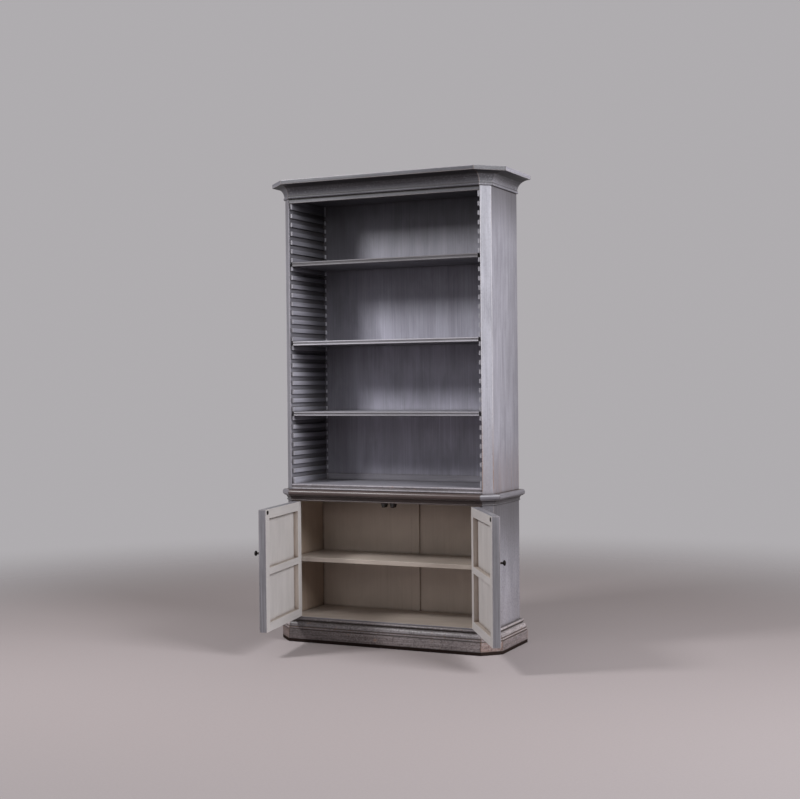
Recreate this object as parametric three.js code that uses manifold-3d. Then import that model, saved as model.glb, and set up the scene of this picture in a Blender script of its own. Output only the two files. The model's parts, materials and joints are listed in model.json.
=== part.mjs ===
// Two-part bookcase: an open upper case with slotted shelf racks, standing on a cabinet with two doors.
// Millimetres, +Z up, the front faces -Y. The origin is on the floor, at the centre of the case's footprint.
// Every piece is cut a little clear of its neighbours, so that each one is a solid of its own.
import * as THREE from "three";
import { mergeVertices } from "three/addons/utils/BufferGeometryUtils.js";
import Module from "manifold-3d";

const wasm = await Module();
wasm.setup();

// Overall sizes
const caseWidth = 1165;
const caseDepth = 400;
const totalHeight = 2400;
const cabinetHeight = 790;
const cantLeg = 44;
const pieceGap = 0.3;
const cutOverrun = 5;

// Boards of both cases
const sideThickness = 20;
const backThickness = 11.5;
const postLipDepth = 10;
const postLipWidth = 7;
const postTongueLength = 26;

// Cornice
const corniceHeight = 90;
const corniceProjection = 78;
const corniceSlabHeight = 22;
const corniceBeadHeight = 13;
const corniceBeadProjection = 10;
const corniceCoveSetback = 7;
const corniceSeatWidth = 18;
const corniceLap = 20;

// Upper case
const friezeHeight = 22;
const friezeThickness = 20;
const faceSetback = 4;
const topBoardThickness = 20;
const upperBottomThickness = 30;
const battenHeight = 32;
const battenThickness = 10;

// Slotted racks and their shelves
const slotPitch = 46;
const slotPlay = 2;
const slotDepth = 15;
const rackWeb = 6.7;
const firstSlotHeight = 33;
const shelfThickness = 22;
const shelfEndPlay = 1.5;
const shelfBackPlay = 1.2;
const shelfNoseDepth = 20;
const shelfHeightShares = { shelf_top: 0.78, shelf_middle: 0.49, shelf_low: 0.23 };
const edgeFluteDepth = 2.6;
const edgeBeadShare = 0.34;

// Waist: the cabinet's moulded top and the cove under it
const cabinetTopThickness = 26;
const noseProjection = 33;
const noseTopRun = 12;
const noseTopDrop = 15;
const noseFootRun = 6;
const waistCoveHeight = 31;
const waistCoveProjection = 24;
const waistBeadHeight = 7;
const waistBeadProjection = 7;
const waistFilletHeight = 4;

// Cabinet
const frontStileWidth = 13;
const frontStileThickness = 40;
const topRailHeight = 32;
const topRailDepth = 90;
const bottomBoardTop = 126;
const bottomBoardThickness = 22;
const cabinetShelfTop = 432;
const cabinetShelfSetback = 45;
const cabinetShelfPlay = 0.8;
const cleatHeight = 20;
const cleatWidth = 22;
const cleatPostClearance = 10;
const muntinWidth = 45;
const muntinThickness = 10;
const lowerPanelThickness = 8;

// Base
const baseProjection = 40;
const plinthHeight = 67;
const plinthThickness = 24;
const plinthChamfer = 3;
const baseTopDrop = 4;
const baseFilletReach = 37;
const baseFilletHeight = 10;
const baseOvoloReach = 34;
const baseOvoloHeight = 27;
const baseNeckReach = 16;
const baseBeadHeight = 13;
const baseBeadRound = 6;
const plinthRailThickness = 20;
const crossRailWidth = 40;

// Doors
const doorThickness = 38;
const doorHingeGap = 1.5;
const doorMeetingGap = 3;
const doorBottomGap = 3;
const doorTopGap = 2.5;
const doorStileWidth = 50;
const doorTopRailHeight = 46;
const doorMiddleRailHeight = 34;
const doorBottomRailHeight = 43;
const doorMiddleRailBottom = 279;
const doorPanelThickness = 8;
const doorPanelSetback = 6;
const doorGrooveDepth = 7;
const leftDoorOpenAngle = 80;
const rightDoorOpenAngle = 122.5;

// Door ironmongery
const hingeLeafHeight = 76;
const hingeLeafWidth = 27;
const hingeLeafThickness = 1.2;
const hingeKnuckleRadius = 4;
const hingePinRadius = 1.5;
const hingePinHeadRadius = 3.2;
const hingeEndDistance = 88;
const knobHeight = 385;
const knobEdgeDistance = 27;
const knobRadius = 13;
const knobReach = 32;
const knobNeckRadius = 5.5;
const knobRoseRadius = 11;
const knobRoseThickness = 3;
const strikeRadius = 10;
const strikeThickness = 3;
const strikeEdgeDistance = 23.5;
const strikeTopDistance = 15;
const catchWidth = 27;
const catchFootShare = 0.56;
const catchHeight = 26;
const catchDepth = 36;
const catchPlateMargin = 8;
const catchPlateThickness = 2.5;
const catchPlay = 0.6;

// Counts of facets on the round parts
const curveSteps = 5;
const roundSides = 20;
const pinSides = 12;

// Places worked out from the sizes above
const halfWidth = caseWidth / 2;
const frontY = -caseDepth / 2;
const backY = caseDepth / 2;
const corniceBottom = totalHeight - corniceHeight;
const caseTop = corniceBottom + corniceLap;
const openingHalf = halfWidth - cantLeg;
const innerHalf = halfWidth - sideThickness - pieceGap;
const cantBackY = frontY + cantLeg;
const tongueBackY = cantBackY + postTongueLength;
const panelFrontY = backY - backThickness;
const upperBottomTop = cabinetHeight + upperBottomThickness;
const slotHeight = shelfThickness + slotPlay;
const rackFaceHalf = openingHalf - slotDepth;
const rackBackHalf = openingHalf + rackWeb;
const rackSeatHalf = openingHalf + postLipWidth;
const lipBackY = frontY + postLipDepth;
const friezeBottom = corniceBottom - friezeHeight;
const friezeFrontY = frontY + faceSetback;
const friezeBackY = friezeFrontY + friezeThickness;
const cabinetTopBottom = cabinetHeight - cabinetTopThickness;
const waistCoveBottom = cabinetTopBottom - waistCoveHeight;
const topRailBottom = cabinetTopBottom - topRailHeight;
const doorwayHalf = openingHalf - frontStileWidth;
const stileBackY = frontY + frontStileThickness;
const bottomBoardLow = bottomBoardTop - bottomBoardThickness;
const doorWidth = doorwayHalf - doorHingeGap - doorMeetingGap / 2;
const doorLow = bottomBoardTop + doorBottomGap;
const doorHigh = topRailBottom - doorTopGap;
const hingeAxisX = doorwayHalf - doorHingeGap / 2;
const hingeAxisY = frontY - hingeKnuckleRadius - pieceGap;
const doorClosedBackY = frontY + doorThickness;
const lowerPanelFrontY = backY - lowerPanelThickness;
const muntinFrontY = lowerPanelFrontY - pieceGap - muntinThickness;

const root = new THREE.Group();

// Finishes
function paint(color, roughness, metalness) {
  return () => new THREE.MeshStandardMaterial({ color, roughness, metalness });
}
const greyPaint = paint(0x85858b, 0.62, 0);
const paleGreyPaint = paint(0x9a9aa0, 0.6, 0);
const darkGreyPaint = paint(0x5f5f66, 0.6, 0);
const creamPaint = paint(0xcfc6b8, 0.55, 0);
const blackMetal = paint(0x1d1b1a, 0.45, 0.8);
const agedSteel = paint(0x6a625a, 0.4, 0.9);

function add(name, geometry, finish, parent = root) {
  const mesh = new THREE.Mesh(geometry, finish());
  mesh.name = name;
  parent.add(mesh);
  return mesh;
}

// Plain solids
function extrude(points, length) {
  const shape = new THREE.Shape(points.map(([a, b]) => new THREE.Vector2(a, b)));
  return new THREE.ExtrudeGeometry(shape, { depth: length, bevelEnabled: false });
}

// A plan outline of x and y, standing between two heights.
function upright(points, low, high) {
  return extrude(points, high - low).translate(0, 0, low);
}

// A section of y and z, run along X between two places.
function alongX(points, low, high) {
  const turn = new THREE.Matrix4().makeBasis(
    new THREE.Vector3(0, 1, 0), new THREE.Vector3(0, 0, 1), new THREE.Vector3(1, 0, 0));
  return extrude(points, high - low).applyMatrix4(turn).translate(low, 0, 0);
}

// A section of x and z, run along Y between two places.
function alongY(points, low, high) {
  const turn = new THREE.Matrix4().makeBasis(
    new THREE.Vector3(0, 0, 1), new THREE.Vector3(1, 0, 0), new THREE.Vector3(0, 1, 0));
  return extrude(points.map(([x, z]) => [z, x]), high - low).applyMatrix4(turn).translate(0, low, 0);
}

function rectangle(lowA, highA, lowB, highB) {
  return [[lowA, lowB], [highA, lowB], [highA, highB], [lowA, highB]];
}

function block(lowX, highX, lowY, highY, lowZ, highZ) {
  return upright(rectangle(lowX, highX, lowY, highY), lowZ, highZ);
}

// The right half of a plan outline, with its mirror image on the left.
function mirrored(points) {
  return [...points, ...points.map(([x, y]) => [-x, y]).reverse()];
}

// The same outline on the left side of the case (-1) or on the right side (+1).
function onSide(points, side) {
  return points.map(([x, y]) => [side * x, y]);
}

// A quarter of an ellipse from one point to another, bowed away from its centre.
function quarter(start, end, centre) {
  const points = [];
  for (let step = 0; step <= curveSteps; step += 1) {
    const angle = (Math.PI / 2) * (step / curveSteps);
    const fromStart = Math.cos(angle);
    const fromEnd = Math.sin(angle);
    points.push([0, 1].map((k) => centre[k] + (start[k] - centre[k]) * fromStart + (end[k] - centre[k]) * fromEnd));
  }
  return points;
}

// Half of an ellipse between two points of the same setting out, bulging by a given reach.
function halfRound(start, end, reach) {
  const middle = [(start[0] + end[0]) / 2, (start[1] + end[1]) / 2];
  const crown = [middle[0] + reach, middle[1]];
  return [...quarter(start, crown, middle), ...quarter(crown, end, middle).slice(1)];
}

// Joins, cuts and overlaps of solids
function toManifold(geometry) {
  const bare = geometry.clone();
  bare.deleteAttribute("normal");
  bare.deleteAttribute("uv");
  const merged = mergeVertices(bare);
  return new wasm.Manifold(new wasm.Mesh({
    numProp: 3,
    vertProperties: Float32Array.from(merged.attributes.position.array),
    triVerts: Uint32Array.from(merged.index.array),
  }));
}

function toGeometry(solid) {
  const mesh = solid.getMesh();
  const geometry = new THREE.BufferGeometry();
  geometry.setAttribute("position", new THREE.BufferAttribute(Float32Array.from(mesh.vertProperties), 3));
  geometry.setIndex(Array.from(mesh.triVerts));
  geometry.computeVertexNormals();
  return geometry;
}

function join(...geometries) {
  return toGeometry(geometries.map(toManifold).reduce((whole, piece) => whole.add(piece)));
}

function cut(geometry, ...cutters) {
  return toGeometry(cutters.map(toManifold).reduce((whole, piece) => whole.subtract(piece), toManifold(geometry)));
}

function common(first, second) {
  return toGeometry(toManifold(first).intersect(toManifold(second)));
}

// Closed solid from rings of points that follow each other; every ring has the same number of points.
function skin(rings) {
  const count = rings[0].length;
  const triangles = [];
  for (let ring = 0; ring + 1 < rings.length; ring += 1) {
    for (let corner = 0; corner < count; corner += 1) {
      const next = (corner + 1) % count;
      const low = ring * count;
      const high = low + count;
      triangles.push([low + corner, low + next, high + next], [low + corner, high + next, high + corner]);
    }
  }
  triangles.push(...capTriangles(rings[0], 0, false));
  triangles.push(...capTriangles(rings.at(-1), (rings.length - 1) * count, true));
  const positions = rings.flat().flatMap((point) => point.toArray());
  const geometry = new THREE.BufferGeometry();
  geometry.setAttribute("position", new THREE.BufferAttribute(new Float32Array(positions), 3));
  geometry.setIndex(triangles.flat());
  return outward(geometry);
}

// The triangles that close a ring, wound the same way round as the ring or against it.
function capTriangles(ring, offset, runsForward) {
  const triangles = THREE.ShapeUtils.triangulateShape(flatten(ring), []);
  const isForward = triangles.some(
    (triangle) => triangle.some((index, k) => index === 0 && triangle[(k + 1) % 3] === 1));
  return triangles.map(
    ([a, b, c]) => (isForward === runsForward ? [a, b, c] : [a, c, b]).map((index) => offset + index));
}

// The ring's points, on the plane in which they lie.
function flatten(ring) {
  const normal = new THREE.Vector3();
  ring.forEach((point, k) => {
    normal.add(new THREE.Vector3().crossVectors(point, ring[(k + 1) % ring.length]));
  });
  normal.normalize();
  const across = new THREE.Vector3().subVectors(ring[1], ring[0]).normalize();
  const up = new THREE.Vector3().crossVectors(normal, across);
  return ring.map((point) => new THREE.Vector2(point.dot(across), point.dot(up)));
}

// Turns a closed solid's faces outwards.
function outward(geometry) {
  const points = geometry.attributes.position;
  const index = geometry.index.array;
  const corners = [new THREE.Vector3(), new THREE.Vector3(), new THREE.Vector3()];
  let volume = 0;
  for (let k = 0; k < index.length; k += 3) {
    corners.forEach((corner, place) => corner.fromBufferAttribute(points, index[k + place]));
    volume += corners[0].dot(corners[1].clone().cross(corners[2]));
  }
  if (volume < 0) {
    for (let k = 0; k < index.length; k += 3) {
      [index[k], index[k + 1]] = [index[k + 1], index[k]];
    }
    geometry.setIndex(Array.from(index));
  }
  geometry.computeVertexNormals();
  return geometry;
}

// The places where a moulding turns. Each says where the case's corner is and which way the moulding stands
// out from it there, so that the canted lengths grow as they stand out and mitre with their neighbours.
function frontEnd(side) {
  return { x: side * openingHalf, y: frontY, outX: 0, outY: -1 };
}
function cantEnd(side) {
  return { x: side * halfWidth, y: cantBackY, outX: side, outY: 0 };
}
function wallEnd(side) {
  return { x: side * halfWidth, y: backY, outX: side, outY: 0 };
}

// A moulding through these places. The profile holds the reach out of the case and the height, and the first
// and last ends can be cut short where another length meets them.
function moulding(profile, places, startCut = 0, finishCut = 0) {
  const last = places.length - 1;
  const shifts = places.map((place, k) => {
    const other = places[k === 0 ? 1 : k - 1];
    const away = new THREE.Vector3(other.x - place.x, other.y - place.y, 0).normalize();
    return away.multiplyScalar(k === 0 ? startCut : k === last ? finishCut : 0);
  });
  return skin(places.map((place, k) => profile.map(([reach, height]) => new THREE.Vector3(
    place.x + place.outX * reach, place.y + place.outY * reach, height).add(shifts[k]))));
}

// All the way round the case, from wall to wall.
function allRound() {
  return [wallEnd(-1), cantEnd(-1), frontEnd(-1), frontEnd(1), cantEnd(1), wallEnd(1)];
}

// Cornice: bead, hollow cove and square slab, seated over the top of the case
function corniceProfile() {
  const beadTop = corniceBottom + corniceBeadHeight;
  const slabBottom = totalHeight - corniceSlabHeight;
  const coveFoot = [corniceBeadProjection / 2, beadTop];
  const coveHead = [corniceProjection - corniceCoveSetback, slabBottom];
  return [
    [pieceGap, corniceBottom],
    ...halfRound([corniceBeadProjection / 2, corniceBottom], coveFoot, corniceBeadProjection / 2),
    ...quarter(coveFoot, coveHead, [coveHead[0], coveFoot[1]]).slice(1),
    [corniceProjection, slabBottom],
    [corniceProjection, totalHeight],
    [-corniceSeatWidth, totalHeight],
    [-corniceSeatWidth, caseTop + pieceGap],
    [pieceGap, caseTop + pieceGap],
  ];
}

// A board's moulded front edge: two beads with a shallow flute between them, as y and z.
function fluteEdge(edgeY, low, high) {
  const bead = (high - low) * edgeBeadShare;
  const shoulder = edgeY + edgeFluteDepth;
  return [
    ...quarter([shoulder, low], [edgeY, low + bead / 2], [shoulder, low + bead / 2]),
    ...quarter([edgeY, low + bead / 2], [shoulder, low + bead], [shoulder, low + bead / 2]).slice(1),
    ...quarter([shoulder, high - bead], [edgeY, high - bead / 2], [shoulder, high - bead / 2]),
    ...quarter([edgeY, high - bead / 2], [shoulder, high], [shoulder, high - bead / 2]).slice(1),
  ];
}

// A flat board of a given outline, with the moulded edge along its front.
function edgedBoard(outline, edgeY, low, high) {
  const section = [...fluteEdge(edgeY, low, high), [backY + cutOverrun, high], [backY + cutOverrun, low]];
  const blank = upright(outline, low - cutOverrun, high + cutOverrun);
  return common(blank, alongX(section, -halfWidth, halfWidth));
}

function upperPostOutline() {
  return [
    [openingHalf, frontY],
    [halfWidth, cantBackY - pieceGap],
    [innerHalf, cantBackY - pieceGap],
    [innerHalf, tongueBackY],
    [rackSeatHalf, tongueBackY],
    [rackSeatHalf, lipBackY],
    [openingHalf, lipBackY],
  ];
}

function buildCornice() {
  const profile = corniceProfile();
  const mitre = pieceGap / 2;
  add("cornice_front", moulding(profile, [frontEnd(-1), frontEnd(1)], mitre, mitre), paleGreyPaint);
  for (const [side, word] of [[-1, "left"], [1, "right"]]) {
    add(`cornice_${word}`, moulding(profile, [frontEnd(side), cantEnd(side), wallEnd(side)], mitre), paleGreyPaint);
  }
}

function buildUpperCase() {
  const sideOutline = rectangle(halfWidth - sideThickness, halfWidth, cantBackY, backY);
  for (const [side, word] of [[-1, "left"], [1, "right"]]) {
    add(`upper_post_${word}`, upright(onSide(upperPostOutline(), side), cabinetHeight + pieceGap, caseTop), greyPaint);
    add(`upper_side_${word}`, upright(onSide(sideOutline, side), cabinetHeight + pieceGap, caseTop), greyPaint);
  }
  const topOutline = mirrored([
    [openingHalf - pieceGap, friezeBackY + pieceGap],
    [rackSeatHalf - pieceGap, friezeBackY + pieceGap],
    [rackSeatHalf - pieceGap, tongueBackY + pieceGap],
    [innerHalf, tongueBackY + pieceGap],
    [innerHalf, panelFrontY - pieceGap],
  ]);
  add("upper_top_board", upright(topOutline, caseTop - topBoardThickness, caseTop), greyPaint);
  const friezeSection = rectangle(friezeFrontY, friezeBackY, friezeBottom, caseTop);
  const friezeHalf = openingHalf - pieceGap;
  add("frieze_rail", alongX(friezeSection, -friezeHalf, friezeHalf), greyPaint);
  const bottomOutline = mirrored([
    [openingHalf - pieceGap, frontY],
    [openingHalf - pieceGap, lipBackY + pieceGap],
    [rackSeatHalf - pieceGap, lipBackY + pieceGap],
    [rackSeatHalf - pieceGap, tongueBackY + pieceGap],
    [innerHalf, tongueBackY + pieceGap],
    [innerHalf, panelFrontY - pieceGap],
  ]);
  const bottomLow = cabinetHeight + pieceGap;
  add("upper_bottom_board", edgedBoard(bottomOutline, friezeFrontY, bottomLow, upperBottomTop), greyPaint);
  const back = block(-innerHalf, innerHalf, panelFrontY, backY, cabinetHeight + pieceGap, caseTop);
  add("upper_back_panel", back, greyPaint);
  const battenHalf = rackFaceHalf - pieceGap;
  const battenBack = panelFrontY - pieceGap;
  const battenLow = upperBottomTop + pieceGap;
  const batten = block(-battenHalf, battenHalf, battenBack - battenThickness, battenBack,
    battenLow, upperBottomTop + battenHeight);
  add("upper_back_batten", batten, greyPaint);
}

// The racks: full-depth side linings with a comb of level slots that are open at the front
function slotBottom(number) {
  return upperBottomTop + firstSlotHeight + number * slotPitch;
}

// As many slots as end below the frieze.
function slotCount() {
  return Math.floor((friezeBottom - slotHeight - slotBottom(0)) / slotPitch) + 1;
}

function rackSection() {
  const comb = [[rackBackHalf, upperBottomTop + pieceGap], [rackFaceHalf, upperBottomTop + pieceGap]];
  for (let number = 0; number < slotCount(); number += 1) {
    const low = slotBottom(number);
    const high = low + slotHeight;
    comb.push([rackFaceHalf, low], [openingHalf, low], [openingHalf, high], [rackFaceHalf, high]);
  }
  const top = caseTop - topBoardThickness - pieceGap;
  return [...comb, [rackFaceHalf, top], [rackBackHalf, top]];
}

function buildRacks() {
  for (const [side, word] of [[-1, "left"], [1, "right"]]) {
    const rack = alongY(onSide(rackSection(), side), lipBackY + pieceGap, panelFrontY - pieceGap);
    const friezeSeat = block(-halfWidth, halfWidth, frontY, friezeBackY + pieceGap, friezeBottom - pieceGap, caseTop);
    add(`shelf_rack_${word}`, cut(rack, friezeSeat), greyPaint);
  }
}

// The shelves: their nosing stops between the racks, and their ends run in the slots
function buildShelves() {
  const tongueHalf = openingHalf - shelfEndPlay;
  const noseHalf = rackFaceHalf - shelfEndPlay;
  const shelfFrontY = friezeFrontY + pieceGap;
  const tongueFrontY = shelfFrontY + shelfNoseDepth;
  const outline = mirrored([
    [noseHalf, frontY],
    [noseHalf, tongueFrontY],
    [tongueHalf, tongueFrontY],
    [tongueHalf, panelFrontY - shelfBackPlay],
  ]);
  for (const [name, share] of Object.entries(shelfHeightShares)) {
    const low = slotBottom(Math.round(share * slotCount())) + pieceGap;
    add(name, edgedBoard(outline, shelfFrontY, low, low + shelfThickness), greyPaint);
  }
}

// The outline of the case with its mouldings, at a given reach out of the case
function caseRing(reach, height) {
  const corners = [
    [-halfWidth - reach, backY],
    [-halfWidth - reach, cantBackY],
    [-openingHalf, frontY - reach],
    [openingHalf, frontY - reach],
    [halfWidth + reach, cantBackY],
    [halfWidth + reach, backY],
  ];
  return corners.map(([x, y]) => new THREE.Vector3(x, y, height));
}

function buildWaist() {
  const noseHeight = cabinetHeight - noseTopDrop;
  const footReach = noseProjection - noseFootRun;
  const nose = [
    ...quarter([footReach, cabinetTopBottom], [noseProjection, noseHeight], [footReach, noseHeight]),
    ...quarter([noseProjection, noseHeight], [noseProjection - noseTopRun, cabinetHeight],
      [noseProjection - noseTopRun, noseHeight]).slice(1),
  ];
  add("cabinet_top", skin(nose.map(([reach, height]) => caseRing(reach, height))), darkGreyPaint);
  const low = waistCoveBottom;
  const high = cabinetTopBottom - pieceGap;
  const beadTop = low + waistBeadHeight;
  const coveFoot = [waistBeadProjection / 2, beadTop];
  const coveHead = [waistCoveProjection, high - waistFilletHeight];
  add("waist_cove", moulding([
    [pieceGap, low],
    ...halfRound([waistBeadProjection / 2, low], coveFoot, waistBeadProjection / 2),
    ...quarter(coveFoot, coveHead, [coveHead[0], coveFoot[1]]).slice(1),
    [waistCoveProjection, high],
    [pieceGap, high],
  ], allRound()), darkGreyPaint);
}

function lowerPostOutline() {
  return [
    [doorwayHalf, frontY],
    [openingHalf, frontY],
    [halfWidth, cantBackY - pieceGap],
    [innerHalf, cantBackY - pieceGap],
    [innerHalf, tongueBackY],
    [rackSeatHalf, tongueBackY],
    [rackSeatHalf, stileBackY],
    [doorwayHalf, stileBackY],
  ];
}

// The heights of the two hinges on a door, at the middle of each hinge
function hingeHeights() {
  return [doorLow + hingeEndDistance, doorHigh - hingeEndDistance];
}

// The shallow seat of a hinge leaf, in a door's edge or in the post's edge, where its face lies at a place
// across the joint and the leaf goes in by way of a sign.
function leafSeat(faceX, sign, middle) {
  const seatX = hingeSeatDepth() + pieceGap;
  const [lowX, highX] = [faceX - sign * cutOverrun, faceX + sign * seatX].sort((a, b) => a - b);
  const backOfSeat = frontY + hingeLeafWidth + pieceGap;
  const half = hingeLeafHeight / 2 + pieceGap;
  return block(lowX, highX, frontY - cutOverrun, backOfSeat, middle - half, middle + half);
}

// How far a leaf goes into the wood: the two leaves share the gap beside the door.
function hingeSeatDepth() {
  return hingeLeafThickness + pieceGap / 2 - doorHingeGap / 2;
}

function buildCabinetCase() {
  const sideOutline = rectangle(halfWidth - sideThickness, halfWidth, cantBackY, backY);
  const high = cabinetTopBottom - pieceGap;
  for (const [side, word] of [[-1, "left"], [1, "right"]]) {
    const post = upright(onSide(lowerPostOutline(), side), 0, high);
    const seats = hingeHeights().map((middle) => leafSeat(side * doorwayHalf, side, middle));
    add(`lower_post_${word}`, cut(post, ...seats), greyPaint);
    add(`lower_side_${word}`, upright(onSide(sideOutline, side), 0, high), greyPaint);
  }
  const railHalf = doorwayHalf - pieceGap;
  const railSection = rectangle(frontY, frontY + topRailDepth, topRailBottom, high);
  add("lower_top_rail", alongX(railSection, -railHalf, railHalf), creamPaint);
  const bottomOutline = mirrored([
    [doorwayHalf - pieceGap, frontY],
    [doorwayHalf - pieceGap, stileBackY + pieceGap],
    [rackSeatHalf - pieceGap, stileBackY + pieceGap],
    [rackSeatHalf - pieceGap, tongueBackY + pieceGap],
    [innerHalf, tongueBackY + pieceGap],
    [innerHalf, lowerPanelFrontY - pieceGap],
  ]);
  add("lower_bottom_board", upright(bottomOutline, bottomBoardLow, bottomBoardTop), creamPaint);
}

function buildCabinetInside() {
  const shelfLow = cabinetShelfTop - shelfThickness;
  const shelfHalf = innerHalf - cabinetShelfPlay;
  const outline = mirrored([
    [rackSeatHalf - cabinetShelfPlay, frontY + cabinetShelfSetback],
    [rackSeatHalf - cabinetShelfPlay, tongueBackY + cabinetShelfPlay],
    [shelfHalf, tongueBackY + cabinetShelfPlay],
    [shelfHalf, muntinFrontY - cabinetShelfPlay],
  ]);
  add("cabinet_shelf", upright(outline, shelfLow, cabinetShelfTop), creamPaint);
  const cleatBackY = muntinFrontY - pieceGap;
  const cleatInner = innerHalf - cleatWidth;
  const cleatFrontY = tongueBackY + cleatPostClearance;
  const cleatOutline = mirrored([
    [cleatInner, cleatBackY - cleatWidth],
    [cleatInner, cleatFrontY],
    [innerHalf, cleatFrontY],
    [innerHalf, cleatBackY],
  ]);
  const cleatTop = shelfLow - pieceGap;
  add("cabinet_shelf_cleat", upright(cleatOutline, cleatTop - cleatHeight, cleatTop), creamPaint);
  const high = cabinetTopBottom - pieceGap;
  const back = block(-innerHalf, innerHalf, lowerPanelFrontY, backY, bottomBoardLow, high);
  add("lower_back_panel", back, creamPaint);
  const muntinHalf = muntinWidth / 2;
  const muntin = block(-muntinHalf, muntinHalf, muntinFrontY, lowerPanelFrontY - pieceGap,
    bottomBoardTop + pieceGap, high);
  add("lower_back_muntin", muntin, creamPaint);
}

// Base: a moulding of fillet, ovolo and bead on a plinth board, with the rails that carry the cabinet's floor
function baseMouldingProfile() {
  const high = bottomBoardTop - baseTopDrop;
  const low = plinthHeight + pieceGap;
  const filletTop = low + baseFilletHeight;
  const ovoloTop = filletTop + baseOvoloHeight;
  const beadLow = high - baseBeadHeight;
  return [
    [pieceGap, low],
    [baseFilletReach, low],
    [baseFilletReach, filletTop],
    ...quarter([baseOvoloReach, filletTop], [baseNeckReach, ovoloTop], [baseNeckReach, filletTop]),
    ...halfRound([baseNeckReach, beadLow], [baseNeckReach, high], baseBeadRound),
    [pieceGap, high],
  ];
}

function buildBase() {
  add("base_moulding", moulding(baseMouldingProfile(), allRound()), greyPaint);
  const plinthBack = baseProjection - plinthThickness;
  add("plinth", moulding([
    [plinthBack, 0],
    [baseProjection, 0],
    [baseProjection, plinthHeight - plinthChamfer],
    [baseProjection - plinthChamfer, plinthHeight],
    [plinthBack, plinthHeight],
  ], allRound()), greyPaint);
  const railTop = bottomBoardLow - pieceGap;
  const backRailFront = backY - plinthRailThickness;
  add("plinth_back_rail", block(-innerHalf, innerHalf, backRailFront, backY, 0, railTop), greyPaint);
  const crossFront = frontY - plinthBack + pieceGap;
  const crossBack = backRailFront - pieceGap;
  const crossHalf = crossRailWidth / 2;
  add("plinth_cross_rail", alongX([
    [crossFront, 0],
    [crossBack, 0],
    [crossBack, railTop],
    [frontY, railTop],
    [frontY, plinthHeight],
    [crossFront, plinthHeight],
  ], -crossHalf, crossHalf), greyPaint);
}

// Door pieces are drawn as if the door were shut, and then turned on the hinge with their group.
// The distance u runs from the door's hinged edge to its free edge, and y from the case's front inwards.
function doorX(side, u) {
  return side * (doorwayHalf - doorHingeGap - u);
}

// The groove for the panels, as its front and back places.
function grooveSides() {
  const front = frontY + doorPanelSetback - pieceGap;
  return [front, front + doorPanelThickness + 2 * pieceGap];
}

// A block between two distances from the hinged edge.
function doorBlock(side, lowU, highU, lowY, highY, lowZ, highZ) {
  const [lowX, highX] = [doorX(side, lowU), doorX(side, highU)].sort((a, b) => a - b);
  return block(lowX, highX, lowY, highY, lowZ, highZ);
}

function doorStile(side, outer, inner) {
  const grooveFloor = inner + Math.sign(outer - inner) * doorGrooveDepth;
  const [grooveFront, grooveBack] = grooveSides();
  const outline = [
    [outer, frontY],
    [inner, frontY],
    [inner, grooveFront],
    [grooveFloor, grooveFront],
    [grooveFloor, grooveBack],
    [inner, grooveBack],
    [inner, doorClosedBackY],
    [outer, doorClosedBackY],
  ];
  return upright(outline.map(([u, y]) => [doorX(side, u), y]), doorLow, doorHigh);
}

// A rail with a groove for the panel in its lower edge, its upper edge or both, and stub tenons at its ends.
function doorRail(side, low, high, hasGrooveBelow, hasGrooveAbove) {
  const [grooveFront, grooveBack] = grooveSides();
  const tenonLow = hasGrooveBelow ? low + doorGrooveDepth : low;
  const tenonHigh = hasGrooveAbove ? high - doorGrooveDepth : high;
  const shoulder = doorStileWidth + pieceGap;
  const tenon = doorStileWidth - doorGrooveDepth + pieceGap;
  const bar = doorBlock(side, shoulder, doorWidth - shoulder, frontY, doorClosedBackY, low, high);
  const tongue = doorBlock(side, tenon, doorWidth - tenon, grooveFront + pieceGap, grooveBack - pieceGap,
    tenonLow, tenonHigh);
  const grooves = [[low - cutOverrun, tenonLow], [tenonHigh, high + cutOverrun]]
    .filter((_, k) => [hasGrooveBelow, hasGrooveAbove][k])
    .map(([from, to]) => doorBlock(side, 0, doorWidth, grooveFront, grooveBack, from, to));
  const rail = join(bar, tongue);
  return grooves.length ? cut(rail, ...grooves) : rail;
}

function doorPanel(side, low, high) {
  const reach = doorGrooveDepth - pieceGap;
  const panelFront = frontY + doorPanelSetback;
  return doorBlock(side, doorStileWidth - reach, doorWidth - doorStileWidth + reach,
    panelFront, panelFront + doorPanelThickness, low - reach, high + reach);
}

// Solid turned about the Y axis from a profile of radius and place.
function turned(profile) {
  const lathe = new THREE.LatheGeometry(profile.map(([r, y]) => new THREE.Vector2(r, y)), roundSides);
  return toGeometry(toManifold(lathe));
}

// Turned knob on its rose, standing out of the door's face
function knobGeometry(side) {
  const neckTop = knobReach - knobRadius;
  const waist = neckTop + knobRadius / 2;
  const profile = [
    [0, pieceGap],
    [knobRoseRadius, pieceGap],
    ...quarter([knobRoseRadius, pieceGap], [knobNeckRadius, knobRoseThickness], [knobNeckRadius, pieceGap]).slice(1),
    ...quarter([knobNeckRadius, neckTop], [knobRadius, waist], [knobNeckRadius, waist]),
    ...quarter([knobRadius, waist], [0, knobReach], [0, waist]).slice(1),
  ];
  const knob = turned(profile).rotateX(Math.PI);
  return knob.translate(doorX(side, doorWidth - knobEdgeDistance), frontY, doorLow + knobHeight);
}

function strikeGeometry(side) {
  const low = doorClosedBackY + pieceGap;
  const high = low + strikeThickness;
  const strike = turned([[0, low], [strikeRadius, low], [strikeRadius, high], [0, high]]);
  return strike.translate(doorX(side, doorWidth - strikeEdgeDistance), 0, doorHigh - strikeTopDistance);
}

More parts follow.
